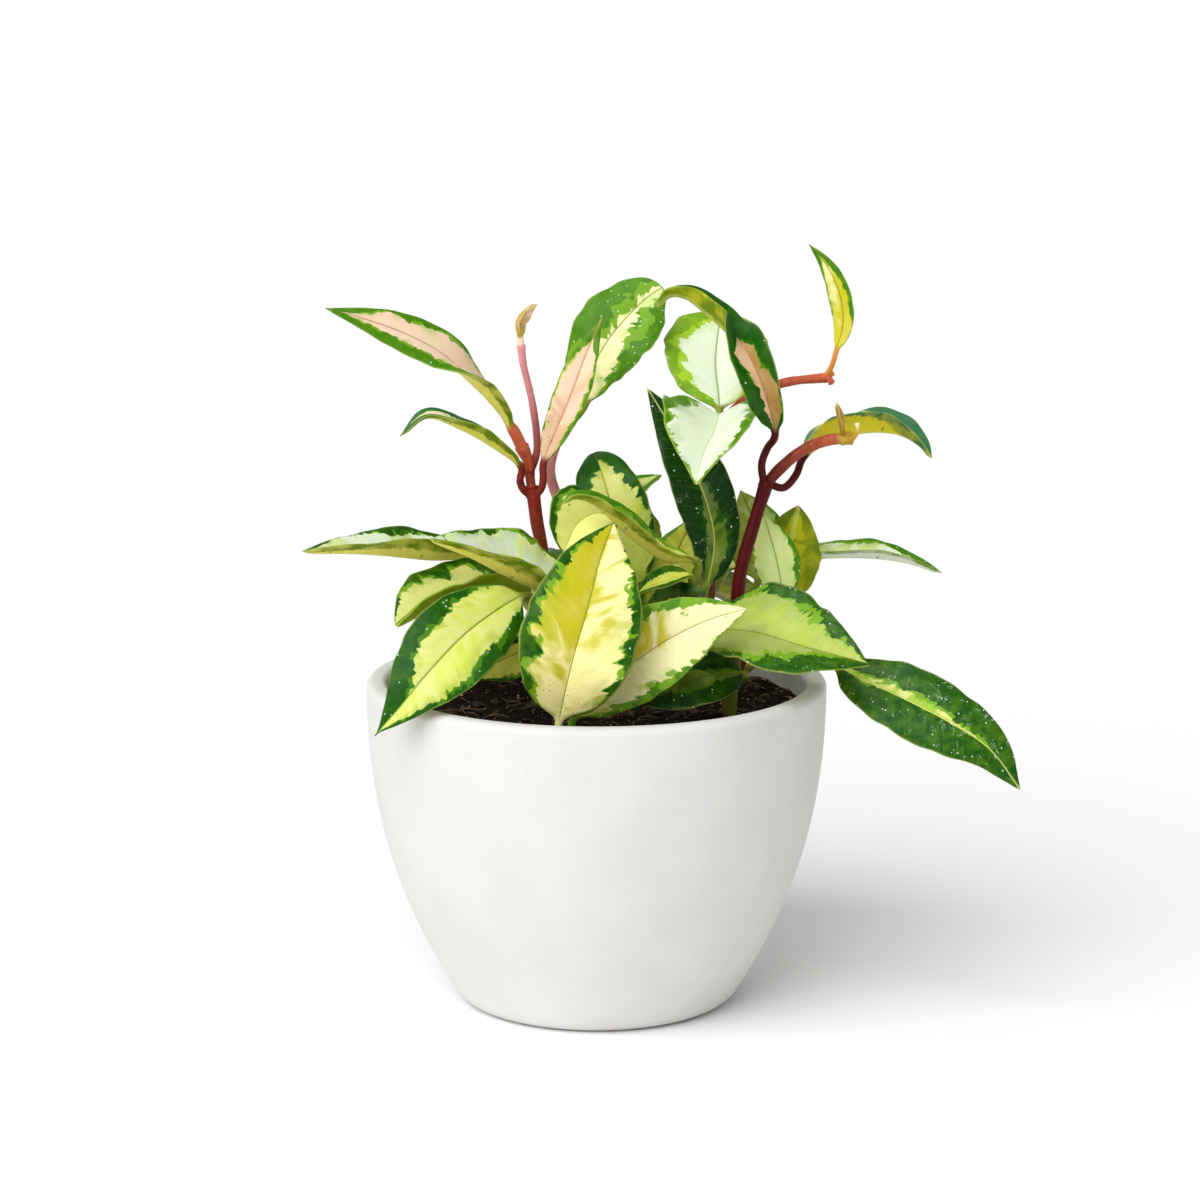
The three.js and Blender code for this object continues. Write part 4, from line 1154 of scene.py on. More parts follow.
    def _underside_colour(self) -> Socket:
        """The underside's colour: the same pattern, blurred and yellower, with soft blotches.

        Returns:
            The colour.
        """
        graph, takes = self.graph, self.takes
        soft = graph.ramp(self.past, *self.UNDER_STEP)
        mottle = graph.ramp(graph.mottle(self.place, self.UNDER_MOTTLE), *self.UNDER_MOTTLE_STEP)
        soft = graph.times(soft, graph.affine(mottle, *self.UNDER_MOTTLE_SHARE))
        long, short = self.UNDER_BLOTCH_STRETCH
        lay = graph.triple(graph.times(self.vein, long), graph.times(self.off_rib, short))
        level = graph.affine(takes["Islands"], *self.UNDER_BLOTCH_LEVEL)
        blotches = graph.mottle(lay, self.UNDER_BLOTCHES)
        blotch = graph.ramp(blotches, level, graph.plus(level, self.UNDER_BLOTCH_EDGE))
        soft = graph.math("MAXIMUM", soft, graph.times(blotch, self.UNDER_BLOTCH_SHARE))
        colour = graph.blend(soft, takes["Under"], takes["Under Green"])
        veins = graph.times(self._lines(), self.UNDER_VEIN_SHARE)
        colour = graph.blend(veins, colour, takes["Under Green"])
        rib = graph.times(self._midrib(self.UNDER_RIB_WIDTH), self.UNDER_RIB_SHARE)
        return graph.blend(rib, colour, Tint.PALE_LIME.linear)

    def _relief(self) -> Socket:
        """Height in millimetres of what is too fine for the mesh.

        Returns:
            The height.
        """
        graph = self.graph
        grain = graph.mottle(self.place, self.GRAIN)
        dimple = graph.mottle(self.place, self.DIMPLES)
        height = graph.affine(grain, self.GRAIN_HEIGHT, graph.times(dimple, self.DIMPLE_HEIGHT))
        height = graph.affine(self._lines(), -self.VEIN_DEPTH, height)
        return graph.affine(self._midrib(self.RIB_DEPTH_WIDTH), -self.RIB_DEPTH, height)


@dataclass(frozen=True)
class Gloss:
    """Shader values that are the same all over a finish."""

    specular: float = 0.5
    coat: float = 0.0
    coat_roughness: float = 0.3
    sheen: float = 0.0
    subsurface: float = 0.0
    depth: float = 0.001


GLOW_REACH = (1.0, 0.9, 0.35)


def principled(name: str, gloss: Gloss) -> tuple[bpy.types.Material, Graph, bpy.types.Node]:
    """Starts a material.

    Args:
        name: The material's name.
        gloss: The values that are set on the shader itself.

    Returns:
        The material, a graph on its tree and its shader.
    """
    material = bpy.data.materials.new(name)
    material.use_nodes = True
    graph = Graph(material.node_tree)
    shader = material.node_tree.nodes["Principled BSDF"]
    for label, value in (
        ("Specular IOR Level", gloss.specular),
        ("Coat Weight", gloss.coat),
        ("Coat Roughness", gloss.coat_roughness),
        ("Sheen Weight", gloss.sheen),
        ("Subsurface Weight", gloss.subsurface),
        ("Subsurface Scale", gloss.depth),
    ):
        shader.inputs[label].default_value = value
    shader.inputs["Subsurface Radius"].default_value = GLOW_REACH
    return material, graph, shader


def set_bump(graph: Graph, shader: bpy.types.Node, height: Socket, strength: float, scale: float) -> None:
    """Feeds a height to a shader's normal.

    Args:
        graph: The material's graph.
        shader: Its shader.
        height: The height, where 1 is scale metres.
        strength: How much of it shows.
        scale: Metres for a height of 1.
    """
    node = graph.add("ShaderNodeBump")
    graph.feed(node.inputs["Strength"], strength)
    graph.feed(node.inputs["Distance"], scale)
    graph.feed(node.inputs["Height"], height)
    graph.feed(shader.inputs["Normal"], node.outputs["Normal"])


@dataclass(frozen=True)
class LeafFinish:
    """A waxy blade with its own marks."""

    name: str
    marks: Marks
    seed: float
    bump: float = 0.8
    gloss: Gloss = Gloss(specular=0.13, coat=0.03, coat_roughness=0.2, subsurface=0.2, depth=0.0012)

    def make(self, pattern: BladePattern) -> bpy.types.Material:
        """Builds the material round the shared pattern.

        Args:
            pattern: The group that draws the marks.

        Returns:
            The material.
        """
        material, graph, shader = principled(self.name, self.gloss)
        group = graph.add("ShaderNodeGroup", node_tree=pattern.tree)
        for label, value in {"Seed": self.seed, **self.marks.inputs}.items():
            group.inputs[label].default_value = value
        graph.feed(shader.inputs["Base Color"], group.outputs["Colour"])
        graph.feed(shader.inputs["Roughness"], group.outputs["Roughness"])
        set_bump(graph, shader, group.outputs["Relief"], self.bump, MM)
        return material


class GrainPattern:
    """The shader group for fine grain: two sizes of noise as a mask and a height."""

    DETAILS = {"Coarse": 3.0, "Fine": 2.0}
    MASK_STEP = (0.3, 0.7)
    COARSE_HEIGHT = 0.4

    def __init__(self) -> None:
        """Builds the group once."""
        takes = {"Coarse": (FLOAT, 100.0), "Fine": (FLOAT, 1000.0), "Streak": (FLOAT, 1.0)}
        gives = {"Mask": FLOAT, "Height": FLOAT}
        self.tree, graph, sockets, out = new_group("grain", "ShaderNodeTree", takes, gives)
        place = graph.add("ShaderNodeTexCoord").outputs["Object"]
        x, y, z = graph.parts(place)
        place = graph.triple(x, y, graph.times(z, sockets["Streak"]))
        values = []
        for label, detail in self.DETAILS.items():
            node = graph.add("ShaderNodeTexNoise", place)
            graph.feed(node.inputs["Scale"], sockets[label])
            node.inputs["Detail"].default_value = detail
            values.append(node.outputs["Fac"])
        coarse, fine = values
        graph.feed(out.inputs["Mask"], graph.ramp(coarse, *self.MASK_STEP))
        graph.feed(out.inputs["Height"], graph.affine(coarse, self.COARSE_HEIGHT, fine))

    def place_in(self, graph: Graph, coarse: float, fine: float, streak: float) -> bpy.types.Node:
        """Places the group in a material.

        Args:
            graph: The material's graph.
            coarse: Broad features in a metre.
            fine: Fine features in a metre.
            streak: How much closer together they are along the height than across it.

        Returns:
            The group's node.
        """
        group = graph.add("ShaderNodeGroup", node_tree=self.tree)
        for label, value in (("Coarse", coarse), ("Fine", fine), ("Streak", streak)):
            group.inputs[label].default_value = value
        return group


@dataclass(frozen=True)
class GrainFinish:
    """A finish of two colours with fine grain: the pot's ceramic, the mix, bark, fibre and grit."""

    name: str
    first: Tint
    second: Tint
    coarse: float
    fine: float
    height: float
    roughness: tuple[float, float]
    streak: float = 1.0
    bump: float = 0.7
    gloss: Gloss = Gloss()

    def make(self, grain: GrainPattern) -> bpy.types.Material:
        """Builds the material round the shared grain.

        Args:
            grain: The group that gives the grain.

        Returns:
            The material.
        """
        material, graph, shader = principled(self.name, self.gloss)
        group = grain.place_in(graph, self.coarse, self.fine, self.streak)
        mask = group.outputs["Mask"]
        graph.feed(shader.inputs["Base Color"], graph.blend(mask, self.first.linear, self.second.linear))
        low, high = self.roughness
        graph.feed(shader.inputs["Roughness"], graph.affine(mask, high - low, low))
        set_bump(graph, shader, group.outputs["Height"], self.bump, self.height)
        return material


@dataclass(frozen=True)
class ShootFinish:
    """Smooth red bark that takes its colour from the shoot's own attribute, with pale pores."""

    name: str = "shoot bark"
    coarse: float = 420.0
    fine: float = 2600.0
    streak: float = 0.25
    height: float = 0.00016
    bump: float = 0.6
    roughness: tuple[float, float] = (0.34, 0.14)
    saturation: float = 1.05
    darkness: float = 0.55
    shade_share: float = 0.6
    pore_gap: float = 1.6 * MM
    pore_step: tuple[float, float] = (0.16, 0.08)
    pore_chance: float = 0.22
    pore_share: float = 0.55
    gloss: Gloss = Gloss(specular=0.12, coat=0.06, coat_roughness=0.25, subsurface=0.05, depth=0.001)

    def make(self, grain: GrainPattern) -> bpy.types.Material:
        """Builds the material round the shared grain.

        Args:
            grain: The group that gives the grain.

        Returns:
            The material.
        """
        material, graph, shader = principled(self.name, self.gloss)
        group = grain.place_in(graph, self.coarse, self.fine, self.streak)
        tint = graph.attribute("tint").outputs["Color"]
        darker = graph.add("ShaderNodeHueSaturation", None, self.saturation, self.darkness, None, tint)
        shade = graph.times(group.outputs["Mask"], self.shade_share)
        colour = graph.blend(shade, tint, darker.outputs["Color"])
        place = graph.add("ShaderNodeTexCoord").outputs["Object"]
        distance, pick = graph.cells(place, self.pore_gap)
        chosen = graph.math("LESS_THAN", pick, self.pore_chance)
        pore = graph.times(graph.ramp(distance, *self.pore_step), chosen)
        colour = graph.blend(graph.times(pore, self.pore_share), colour, Tint.PINK.linear)
        graph.feed(shader.inputs["Base Color"], colour)
        lowest, spread = self.roughness
        graph.feed(shader.inputs["Roughness"], graph.affine(group.outputs["Mask"], spread, lowest))
        set_bump(graph, shader, group.outputs["Height"], self.bump, self.height)
        return material


class Route:
    """A smooth path through points in millimetres, walked by its own length in metres."""

    CELLS = 60
    LEAST_GAP = 1e-6
    TANGENT_STEP = 0.0004

    def __init__(self, points: Sequence[Point]) -> None:
        """Lays the path.

        Args:
            points: The points that it goes through.
        """
        knots = np.array(points, float) * MM
        first, last = 2 * knots[0] - knots[1], 2 * knots[-1] - knots[-2]
        padded = np.vstack([first, knots, last])
        spans = [self._span(*padded[i : i + 4]) for i in range(len(knots) - 1)]
        self.places = np.vstack([*spans, knots[-1:]])
        steps = np.linalg.norm(np.diff(self.places, axis=0), axis=1)
        self.walked = np.concatenate([[0.0], np.cumsum(steps)])
        self.length = float(self.walked[-1])

    def _span(
        self, before: np.ndarray, start: np.ndarray, end: np.ndarray, after: np.ndarray
    ) -> np.ndarray:
        """Walks one stretch of the smooth curve.

        Args:
            before: The point before the stretch.
            start: The stretch's first point.
            end: Its last point.
            after: The point after it.

        Returns:
            Places from the first point up to the last, which is left out.
        """
        pairs = ((before, start), (start, end), (end, after))
        gap0, gap1, gap2 = (max(float(np.linalg.norm(b - a)) ** 0.5, self.LEAST_GAP) for a, b in pairs)
        leave = (start - before) / gap0 - (end - before) / (gap0 + gap1) + (end - start) / gap1
        arrive = (end - start) / gap1 - (after - start) / (gap1 + gap2) + (after - end) / gap2
        leave, arrive = leave * gap1, arrive * gap1
        w = np.arange(self.CELLS)[:, None] / self.CELLS
        bend2 = -3 * start + 3 * end - 2 * leave - arrive
        bend3 = 2 * start - 2 * end + leave + arrive
        return start + leave * w + bend2 * w**2 + bend3 * w**3

    def distance_to(self, knot: int) -> float:
        """How far along the path one of its given points is."""
        return float(self.walked[knot * self.CELLS])

    def at(self, distances: np.ndarray) -> np.ndarray:
        """The places at distances along the path."""
        return np.stack([np.interp(distances, self.walked, self.places[:, i]) for i in range(3)], axis=1)

    def tangents(self, distances: np.ndarray) -> np.ndarray:
        """Directions of the path at distances along it.

        Args:
            distances: Distances along the route.

        Returns:
            Unit vectors, one row each.
        """
        low = np.clip(distances - self.TANGENT_STEP, 0, None)
        high = np.clip(distances + self.TANGENT_STEP, None, self.length)
        return unit(self.at(high) - self.at(low))


def unit(vectors: np.ndarray) -> np.ndarray:
    """Vectors of length 1 in the same directions."""
    return vectors / np.maximum(np.linalg.norm(vectors, axis=-1, keepdims=True), 1e-12)


def smooth(share: np.ndarray) -> np.ndarray:
    """A smooth step from 0 to 1 as share goes from 0 to 1."""
    share = np.clip(share, 0, 1)
    return share * share * (3 - 2 * share)


def evenly_along(values: Sequence[float], shares: np.ndarray) -> np.ndarray:
    """A value that runs evenly through a list of values as a share goes from 0 to 1."""
    return np.interp(shares, np.linspace(0, 1, len(values)), values)


def percents_along(values: Sequence[int], shares: np.ndarray) -> np.ndarray:
    """The same for a list of percents, as a share."""
    return evenly_along(np.array(values) / 100, shares)


def skin_mesh(name: str, rings: np.ndarray) -> bpy.types.Mesh:
    """A closed skin over rings of points, each end closed round a point of its own.

    Args:
        name: The mesh's name.
        rings: Places by ring and by place round it, in metres.

    Returns:
        The mesh, with its rings' points first, then the two end points.
    """
    count, around, _ = rings.shape
    places = np.vstack([rings.reshape(-1, 3), rings[0].mean(axis=0), rings[-1].mean(axis=0)])
    row, side = np.meshgrid(np.arange(count - 1), np.arange(around), indexing="ij")
    low = (row * around + side).ravel()
    low_next = (row * around + (side + 1) % around).ravel()
    quads = np.stack([low, low_next, low_next + around, low + around], axis=1).tolist()
    turn = range(around)
    last = (count - 1) * around
    ends = [(count * around, (i + 1) % around, i) for i in turn]
    ends += [(count * around + 1, last + i, last + (i + 1) % around) for i in turn]
    mesh = bpy.data.meshes.new(name)
    mesh.from_pydata(places.tolist(), [], quads + ends)
    return mesh


def write_values(mesh: bpy.types.Mesh, name: str, field_name: str, values: np.ndarray) -> None:
    """Writes a value for each vertex as a named attribute.

    Args:
        mesh: The mesh.
        name: The attribute's name.
        field_name: What Blender calls the values: value, vector or color.
        values: The values, by vertex.
    """
    kinds = {"value": "FLOAT", "vector": "FLOAT_VECTOR", "color": "FLOAT_COLOR"}
    layer = mesh.attributes.new(name, kinds[field_name], "POINT")
    layer.data.foreach_set(field_name, values.astype(np.float32).ravel())


def vertex_places(mesh: bpy.types.Mesh) -> np.ndarray:
    """The places of a mesh's vertices.

    Args:
        mesh: A mesh.

    Returns:
        Its vertices' places, one row each.
    """
    places = np.zeros(len(mesh.vertices) * 3)
    mesh.vertices.foreach_get("co", places)
    return places.reshape(-1, 3)


def face_out(mesh: bpy.types.Mesh) -> None:
    """Turns a closed mesh's faces outwards and makes them shade smoothly.

    Args:
        mesh: A closed mesh, changed in place.
    """
    places = vertex_places(mesh)
    mesh.calc_loop_triangles()
    triangles = np.zeros(len(mesh.loop_triangles) * 3, int)
    mesh.loop_triangles.foreach_get("vertices", triangles)
    a, b, c = (places[triangles.reshape(-1, 3)[:, i]] for i in range(3))
    if float(np.einsum("ij,ij->i", a, np.cross(b, c)).sum()) < 0:
        mesh.flip_normals()
    mesh.shade_smooth()
    mesh.update()


def add_piece(name: str, mesh: bpy.types.Mesh, slot: Slot, *nodes: str) -> bpy.types.Object:
    """Puts a finished mesh in the scene and joins it to the model's body.

    Args:
        name: The piece's name.
        mesh: Its mesh, in place.
        slot: The material slot that the piece stands for; not used.
        nodes: The model's nodes that it stands for.

    Returns:
        The piece.
    """
    piece = bpy.data.objects.new(name, mesh)
    bpy.context.scene.collection.objects.link(piece)
    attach(piece, BODY)
    if nodes:
        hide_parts(*nodes)
    LOG.info("%s: %d faces", name, len(mesh.polygons))
    return piece


@dataclass(frozen=True)
class Lay:
    """How one leaf's rings lie, from its stalk's foot to its blade's tip, in metres.

    share runs from 0 at the blade's base to 1 at its tip. place runs across a ring, from -1 at the left
    margin to 1 at the right one. opened goes from 0 on the stalk to 1 on the blade. The arrays are shaped
    to be combined by ring, place and axis.
    """

    along: np.ndarray
    share: np.ndarray
    half: np.ndarray
    place: np.ndarray
    opened: np.ndarray
    centre: np.ndarray
    side: np.ndarray
    face: np.ndarray


@dataclass
class LeafBuilder:
    """Builds one leaf's skin: a round stalk that opens into a thick keeled blade."""

    leaf: Leaf
    seed: int
    middle_thickness: float = 1.5 * MM
    edge_thickness: float = 0.8 * MM
    edge_sharpness: int = 12
    thickest: float = 0.75
    tip_half: float = 0.22 * MM
    base_roundness: float = 0.62
    base_share: float = 0.1
    edge_droop: float = 0.06
    wave_height: float = 0.07
    waves: float = 2.2
    ripple: float = 0.022
    ripple_turns: float = 34
    ripple_shift: float = 2.1
    puff: float = 0.03
    uneven: tuple[tuple[float, float], ...] = ((0.012, 31), (0.01, 53))
    keel_round: float = 0.7 * MM
    groove: float = 0.22 * MM
    groove_half: float = 0.5 * MM
    groove_full: float = 4 * MM
    tone_blend: float = 4 * MM
    row: float = 0.95 * MM
    least_rows: int = 20
    stalk_row: float = 1.1 * MM
    least_stalk_rows: int = 4
    across: Sequence[float] = (
        0.02, 0.05, 0.1, 0.18, 0.27, 0.36, 0.46, 0.56, 0.66, 0.76, 0.85, 0.92, 0.97, 1.0,
    )

    def build(self, name: str) -> bpy.types.Mesh:
        """Makes the mesh with what the marks read from it.

        Args:
            name: The mesh's name.

        Returns:
            The mesh.
        """
        lay = self._lay(Route([*self.leaf.stalk, *self.leaf.rib]))
        middle = self._middle(lay)
        upper = self._surface(lay, middle, 1.0)
        lower = self._surface(lay, middle, -1.0)
        mesh = skin_mesh(name, np.concatenate([upper, lower[:, -2:0:-1]], axis=1))
        turn = np.concatenate([lay.place, lay.place[-2:0:-1]])[None]
        self._write_marks(mesh, lay, turn)
        self._write_tone(mesh, lay, turn)
        self._write_map(mesh, lay, turn)
        face_out(mesh)
        return mesh

    def _lay(self, route: Route) -> Lay:
        """Lays the rings along a route.

        Args:
            route: The stalk and the midrib.

        Returns:
            Where the rings are and how they are turned.
        """
        start = route.distance_to(len(self.leaf.stalk))
        walked = self._rows(start, route.length)
        share = np.clip((walked - start) / (route.length - start), 0, 1)
        tangent = route.tangents(walked)
        faces = np.array(self.leaf.face, float)
        facing = np.stack([evenly_along(faces[:, i], share) for i in range(3)], axis=1)
        facing = unit(facing - tangent * np.einsum("ij,ij->i", facing, tangent)[:, None])
        return Lay(
            along=(walked - start)[:, None],
            share=share[:, None],
            half=self._half_width(share)[:, None],
            place=np.array([*(-v for v in reversed(self.across)), 0.0, *self.across]),
            opened=smooth(share / self.base_share)[:, None, None],
            centre=route.at(walked)[:, None],
            side=np.cross(tangent, facing)[:, None],
            face=facing[:, None],
        )

    def _rows(self, start: float, length: float) -> np.ndarray:
        """Sets the rings, closer together at the blade's ends.

        Args:
            start: How far along the route the blade starts.
            length: The route's length.

        Returns:
            The rings' distances along the route.
        """
        stalk_rows = max(self.least_stalk_rows, round(start / self.stalk_row))
        even = np.linspace(0, 1, max(self.least_rows, round((length - start) / self.row)) + 1)
        eased = (1 - np.cos(math.pi * even)) / 2
        stalk = np.linspace(0, start, stalk_rows, endpoint=False)
        return np.concatenate([stalk, start + (length - start) * (even + eased) / 2])

    def _half_width(self, share: np.ndarray) -> np.ndarray:
        """Works out half the blade's width, laid flat.

        Args:
            share: Shares of the blade's length.

        Returns:
            Half the width at each of them.
        """
        leaf = self.leaf
        rising = share < leaf.widest
        reach = np.where(rising, share / leaf.widest, (1 - share) / (1 - leaf.widest))
        shape = np.sin(math.pi / 2 * reach) ** np.where(rising, self.base_roundness, leaf.tip)
        uneven = 1.0
        for number, (height, turns) in enumerate(self.uneven, start=1):
            uneven = uneven + height * np.sin(share * turns + number * self.seed)
        return np.maximum(self.tip_half, leaf.width / 2 * MM * shape * uneven)

    def _middle(self, lay: Lay) -> np.ndarray:
        """Folds the middle surface about a rounded keel and waves it along its margins.

        Args:
            lay: The rings.

        Returns:
            Places by ring and by place across it.
        """
        place, half = lay.place, lay.half
        fold = np.radians(evenly_along(self.leaf.fold, lay.share))
        keel = self.keel_round / np.maximum(half, self.keel_round)
        reach = (np.sqrt(place**2 + keel**2) - keel) / (np.sqrt(1 + keel**2) - keel)
        wave = self.wave_height * np.sin(2 * math.pi * self.waves * lay.share + self.leaf.width)
        turns = lay.share * self.ripple_turns + self.seed + self.ripple_shift * np.sign(place)
        ripple = self.ripple * np.sin(turns) * place**4
        puff = self.puff * np.sin(math.pi * np.abs(place))
        rise = reach * np.sin(fold) + place**2 * (wave - self.edge_droop) + ripple + puff
        reached = place * half * np.cos(fold)
        return lay.centre + lay.side * reached[..., None] + lay.face * (half * rise)[..., None]

    def _surface(self, lay: Lay, middle: np.ndarray, sign: float) -> np.ndarray:
        """Raises one surface off the middle one. On the stalk it is half a round.

        Args:
            lay: The rings.
            middle: The middle surface.
            sign: 1 for the upper surface, -1 for the lower one.

        Returns:
            Places by ring and by place across it.
        """
        place, half = lay.place, lay.half
        normal = unit(np.cross(np.gradient(middle, axis=1), np.gradient(middle, axis=0)))
        against = np.einsum("ijk,ik->ij", normal, lay.face[:, 0])[..., None]
        normal = np.where(against < 0, -normal, normal)
        reach = np.abs(place)
        thick = (self.middle_thickness + (self.edge_thickness - self.middle_thickness) * reach) / 2
        rounded = np.sqrt(np.clip(1 - reach**self.edge_sharpness, 0, 1))
        thick = np.minimum(thick[None], self.thickest * half) * rounded
        groove = self.groove * np.exp(-((place * half / self.groove_half) ** 2))
        groove = groove * np.clip(half / self.groove_full, 0, 1)
        blade = middle + normal * (thick * sign - groove)[..., None]
        turn = (1 - place) / 2 * math.pi
        radius = self.leaf.stalk_radius * MM
        across = lay.side * (radius * np.cos(turn))[None, :, None]
        stalk = lay.centre + across + lay.face * (radius * np.sin(turn) * sign)[None, :, None]
        return stalk + (blade - stalk) * lay.opened

    def _write_marks(self, mesh: bpy.types.Mesh, lay: Lay, turn: np.ndarray) -> None:
        """Writes where each vertex lies on the blade, and how far past the green border it is.

        Args:
            mesh: The leaf's mesh.
            lay: The rings.
            turn: The place across the blade, going round a ring.
        """
        marks = self.leaf.marks
        left, right = percents_along(marks.left, lay.share), percents_along(marks.right, lay.share)
        starts = np.where(turn > 0, right, left)
        upper = np.concatenate([np.ones(len(lay.place)), np.zeros(len(lay.place) - 2)])
        upper[[0, len(lay.place) - 1]] = 0.5
        written = {
            "lay": (lay.along / MM, turn * lay.half / MM, np.abs(turn)),
            "marks": (np.abs(turn) - starts, upper[None], 1 - lay.opened[..., 0]),
        }
        for name, parts in written.items():
            values = np.stack(np.broadcast_arrays(*parts), axis=-1)
            ends = np.stack([values[0].mean(axis=0), values[-1].mean(axis=0)])
            write_values(mesh, name, "vector", np.vstack([values.reshape(-1, 3), ends]))

    def _write_tone(self, mesh: bpy.types.Mesh, lay: Lay, turn: np.ndarray) -> None:
        """Writes how much of the second colour lies over the core at each vertex.

        Args:
            mesh: The leaf's mesh.
            lay: The rings.
            turn: The place across the blade, going round a ring.
        """
        marks = self.leaf.marks
        left = percents_along(marks.clouds, lay.share)
        right = percents_along(marks.clouds_right or marks.clouds, lay.share)
        tone = left + (right - left) * smooth(turn * lay.half / self.tone_blend + 0.5)
        write_values(mesh, "tone", "value", np.append(tone.ravel(), [tone[0].mean(), tone[-1].mean()]))

    def _write_map(self, mesh: bpy.types.Mesh, lay: Lay, turn: np.ndarray) -> None:
        """Lays the blade out flat as the piece's UV map.

        Args:
            mesh: The leaf's mesh.
            lay: The rings.
            turn: The place across the blade, going round a ring.
        """
        u, v = (part.ravel() for part in np.broadcast_arrays(lay.share, (turn + 1) / 2))
        u, v = np.append(u, [0, 1]), np.append(v, [0.5, 0.5])
        corners = np.zeros(len(mesh.loops), int)
        mesh.loops.foreach_get("vertex_index", corners)
        layer = mesh.uv_layers.new(name="blade")
        layer.data.foreach_set("uv", np.stack([u[corners], v[corners]], axis=1).ravel())


@dataclass
class Foliage:
    """All leaves, each a piece of its own in the place of its node."""

    leaves: dict[str, Leaf] = field(default_factory=lambda: LEAVES)
    first_seed: int = 3
    seed_step: float = 3.7

    def build(self, pattern: BladePattern) -> None:
        """Builds and dresses every leaf.

        Args:
            pattern: The shader group with the blades' marks.
        """
        for number, (name, leaf) in enumerate(self.leaves.items()):
            seed = self.first_seed + number
            mesh = LeafBuilder(leaf, seed).build(f"{name}_skin")
            finish = LeafFinish(f"{name} marks", leaf.marks, seed * self.seed_step)
            mesh.materials.append(finish.make(pattern))
            add_piece(f"{name}_detailed", mesh, leaf.slot, name)


@dataclass
class Shoots:
    """The shoots: fused round runs with swollen joints."""

    shoots: dict[str, list[Run]] = field(default_factory=lambda: SHOOTS)
    sides: int = 20
    row: float = 0.8 * MM
    joint_swelling: float = 0.35
    joint_sharpness: float = 12
    unevenness: float = 0.05
    uneven_turns: tuple[float, float] = (23, 9)
    least_rows: int = 12
    dome_height: float = 0.35
    dome_inset: float = 0.45
    tint_rows: int = 60
    off_shoots: Point = (0.31, 0.92, 0.17)

    def build(self, grain: GrainPattern) -> None:
        """Builds and dresses every shoot.

        Args:
            grain: The shader group with fine grain.
        """
        bark = ShootFinish().make(grain)
        for number, (name, runs) in enumerate(self.shoots.items()):
            mesh = self._fused(f"{name}_skin", [self._tube(run, number) for run in runs])
            self._write_tint(mesh, runs)
            mesh.materials.clear()
            mesh.materials.append(bark)
            face_out(mesh)
            add_piece(f"{name}_detailed", mesh, Slot.STEM, name)

    def _tube(self, run: Run, number: int) -> bpy.types.Mesh:
        """Makes one run as a closed round tube that ends in a dome.

        Args:
            run: The run.
            number: The shoot's number, which sets its unevenness apart from the others'.

        Returns:
            The tube's mesh.
        """
        route = Route(run.route)
        walked = np.linspace(0, route.length, max(self.least_rows, round(route.length / self.row)))
        share = walked / route.length
        radius = evenly_along(run.radii, share) + self.joint_swelling * share**self.joint_sharpness
        fast, slow = self.uneven_turns
        uneven = self.unevenness * np.sin(share * fast + number) * np.sin(share * slow + 2 * number)
        radius = radius * (1 + uneven)
        tangent = route.tangents(walked)
        across = unit(np.cross(tangent, np.array(self.off_shoots)))
        other = np.cross(tangent, across)
        angle = np.linspace(0, 2 * math.pi, self.sides, endpoint=False)[None, :, None]
        radius = (radius * MM)[:, None, None]
        spread = across[:, None] * np.cos(angle) + other[:, None] * np.sin(angle)
        rings = route.at(walked)[:, None] + spread * radius
        end = rings[-1:] + self.dome_height * radius[-1] * tangent[-1]
        end = end - self.dome_inset * spread[-1:] * radius[-1]
        mesh = skin_mesh("run", np.concatenate([rings, end]))
        face_out(mesh)
        return mesh

    def _fused(self, name: str, tubes: list[bpy.types.Mesh]) -> bpy.types.Mesh:
        """Joins the runs of one shoot into one closed skin.

        Args:
            name: The mesh's name.
            tubes: The runs' meshes.

        Returns:
            The mesh.
        """
        objects = [bpy.data.objects.new("run", mesh) for mesh in tubes]
        for item in objects:
            bpy.context.scene.collection.objects.link(item)
        base = objects[0]
        for other in objects[1:]:
            cut = base.modifiers.new("fuse", "BOOLEAN")
            cut.operation, cut.solver, cut.object = "UNION", "EXACT", other
        evaluated = base.evaluated_get(bpy.context.evaluated_depsgraph_get())
        mesh = bpy.data.meshes.new_from_object(evaluated)
        mesh.name = name
        for item in objects:
            bpy.data.objects.remove(item)
        return mesh

    def _write_tint(self, mesh: bpy.types.Mesh, runs: list[Run]) -> None:
        """Colours each vertex from the nearest place of the nearest run.

        Args:
            mesh: The shoot's mesh.
            runs: Its runs.
        """
        places = vertex_places(mesh)
        nearest = np.full(len(places), np.inf)
        tint = np.zeros((len(places), 4))
        for run in runs:
            route = Route(run.route)
            walked = np.linspace(0, route.length, self.tint_rows)
            gaps = np.linalg.norm(places[:, None] - route.at(walked)[None], axis=2)
            index = gaps.argmin(axis=1)
            share = (walked / route.length)[index]
            steps = np.linspace(0, 1, len(run.tints))
            lights = np.array([colour.linear for colour in run.tints])
            mixed = np.stack([np.interp(share, steps, part) for part in lights.T], axis=1)
            closer = gaps.min(axis=1) < nearest
            tint[closer] = mixed[closer]
            nearest = np.minimum(nearest, gaps.min(axis=1))
        write_values(mesh, "tint", "color", tint)


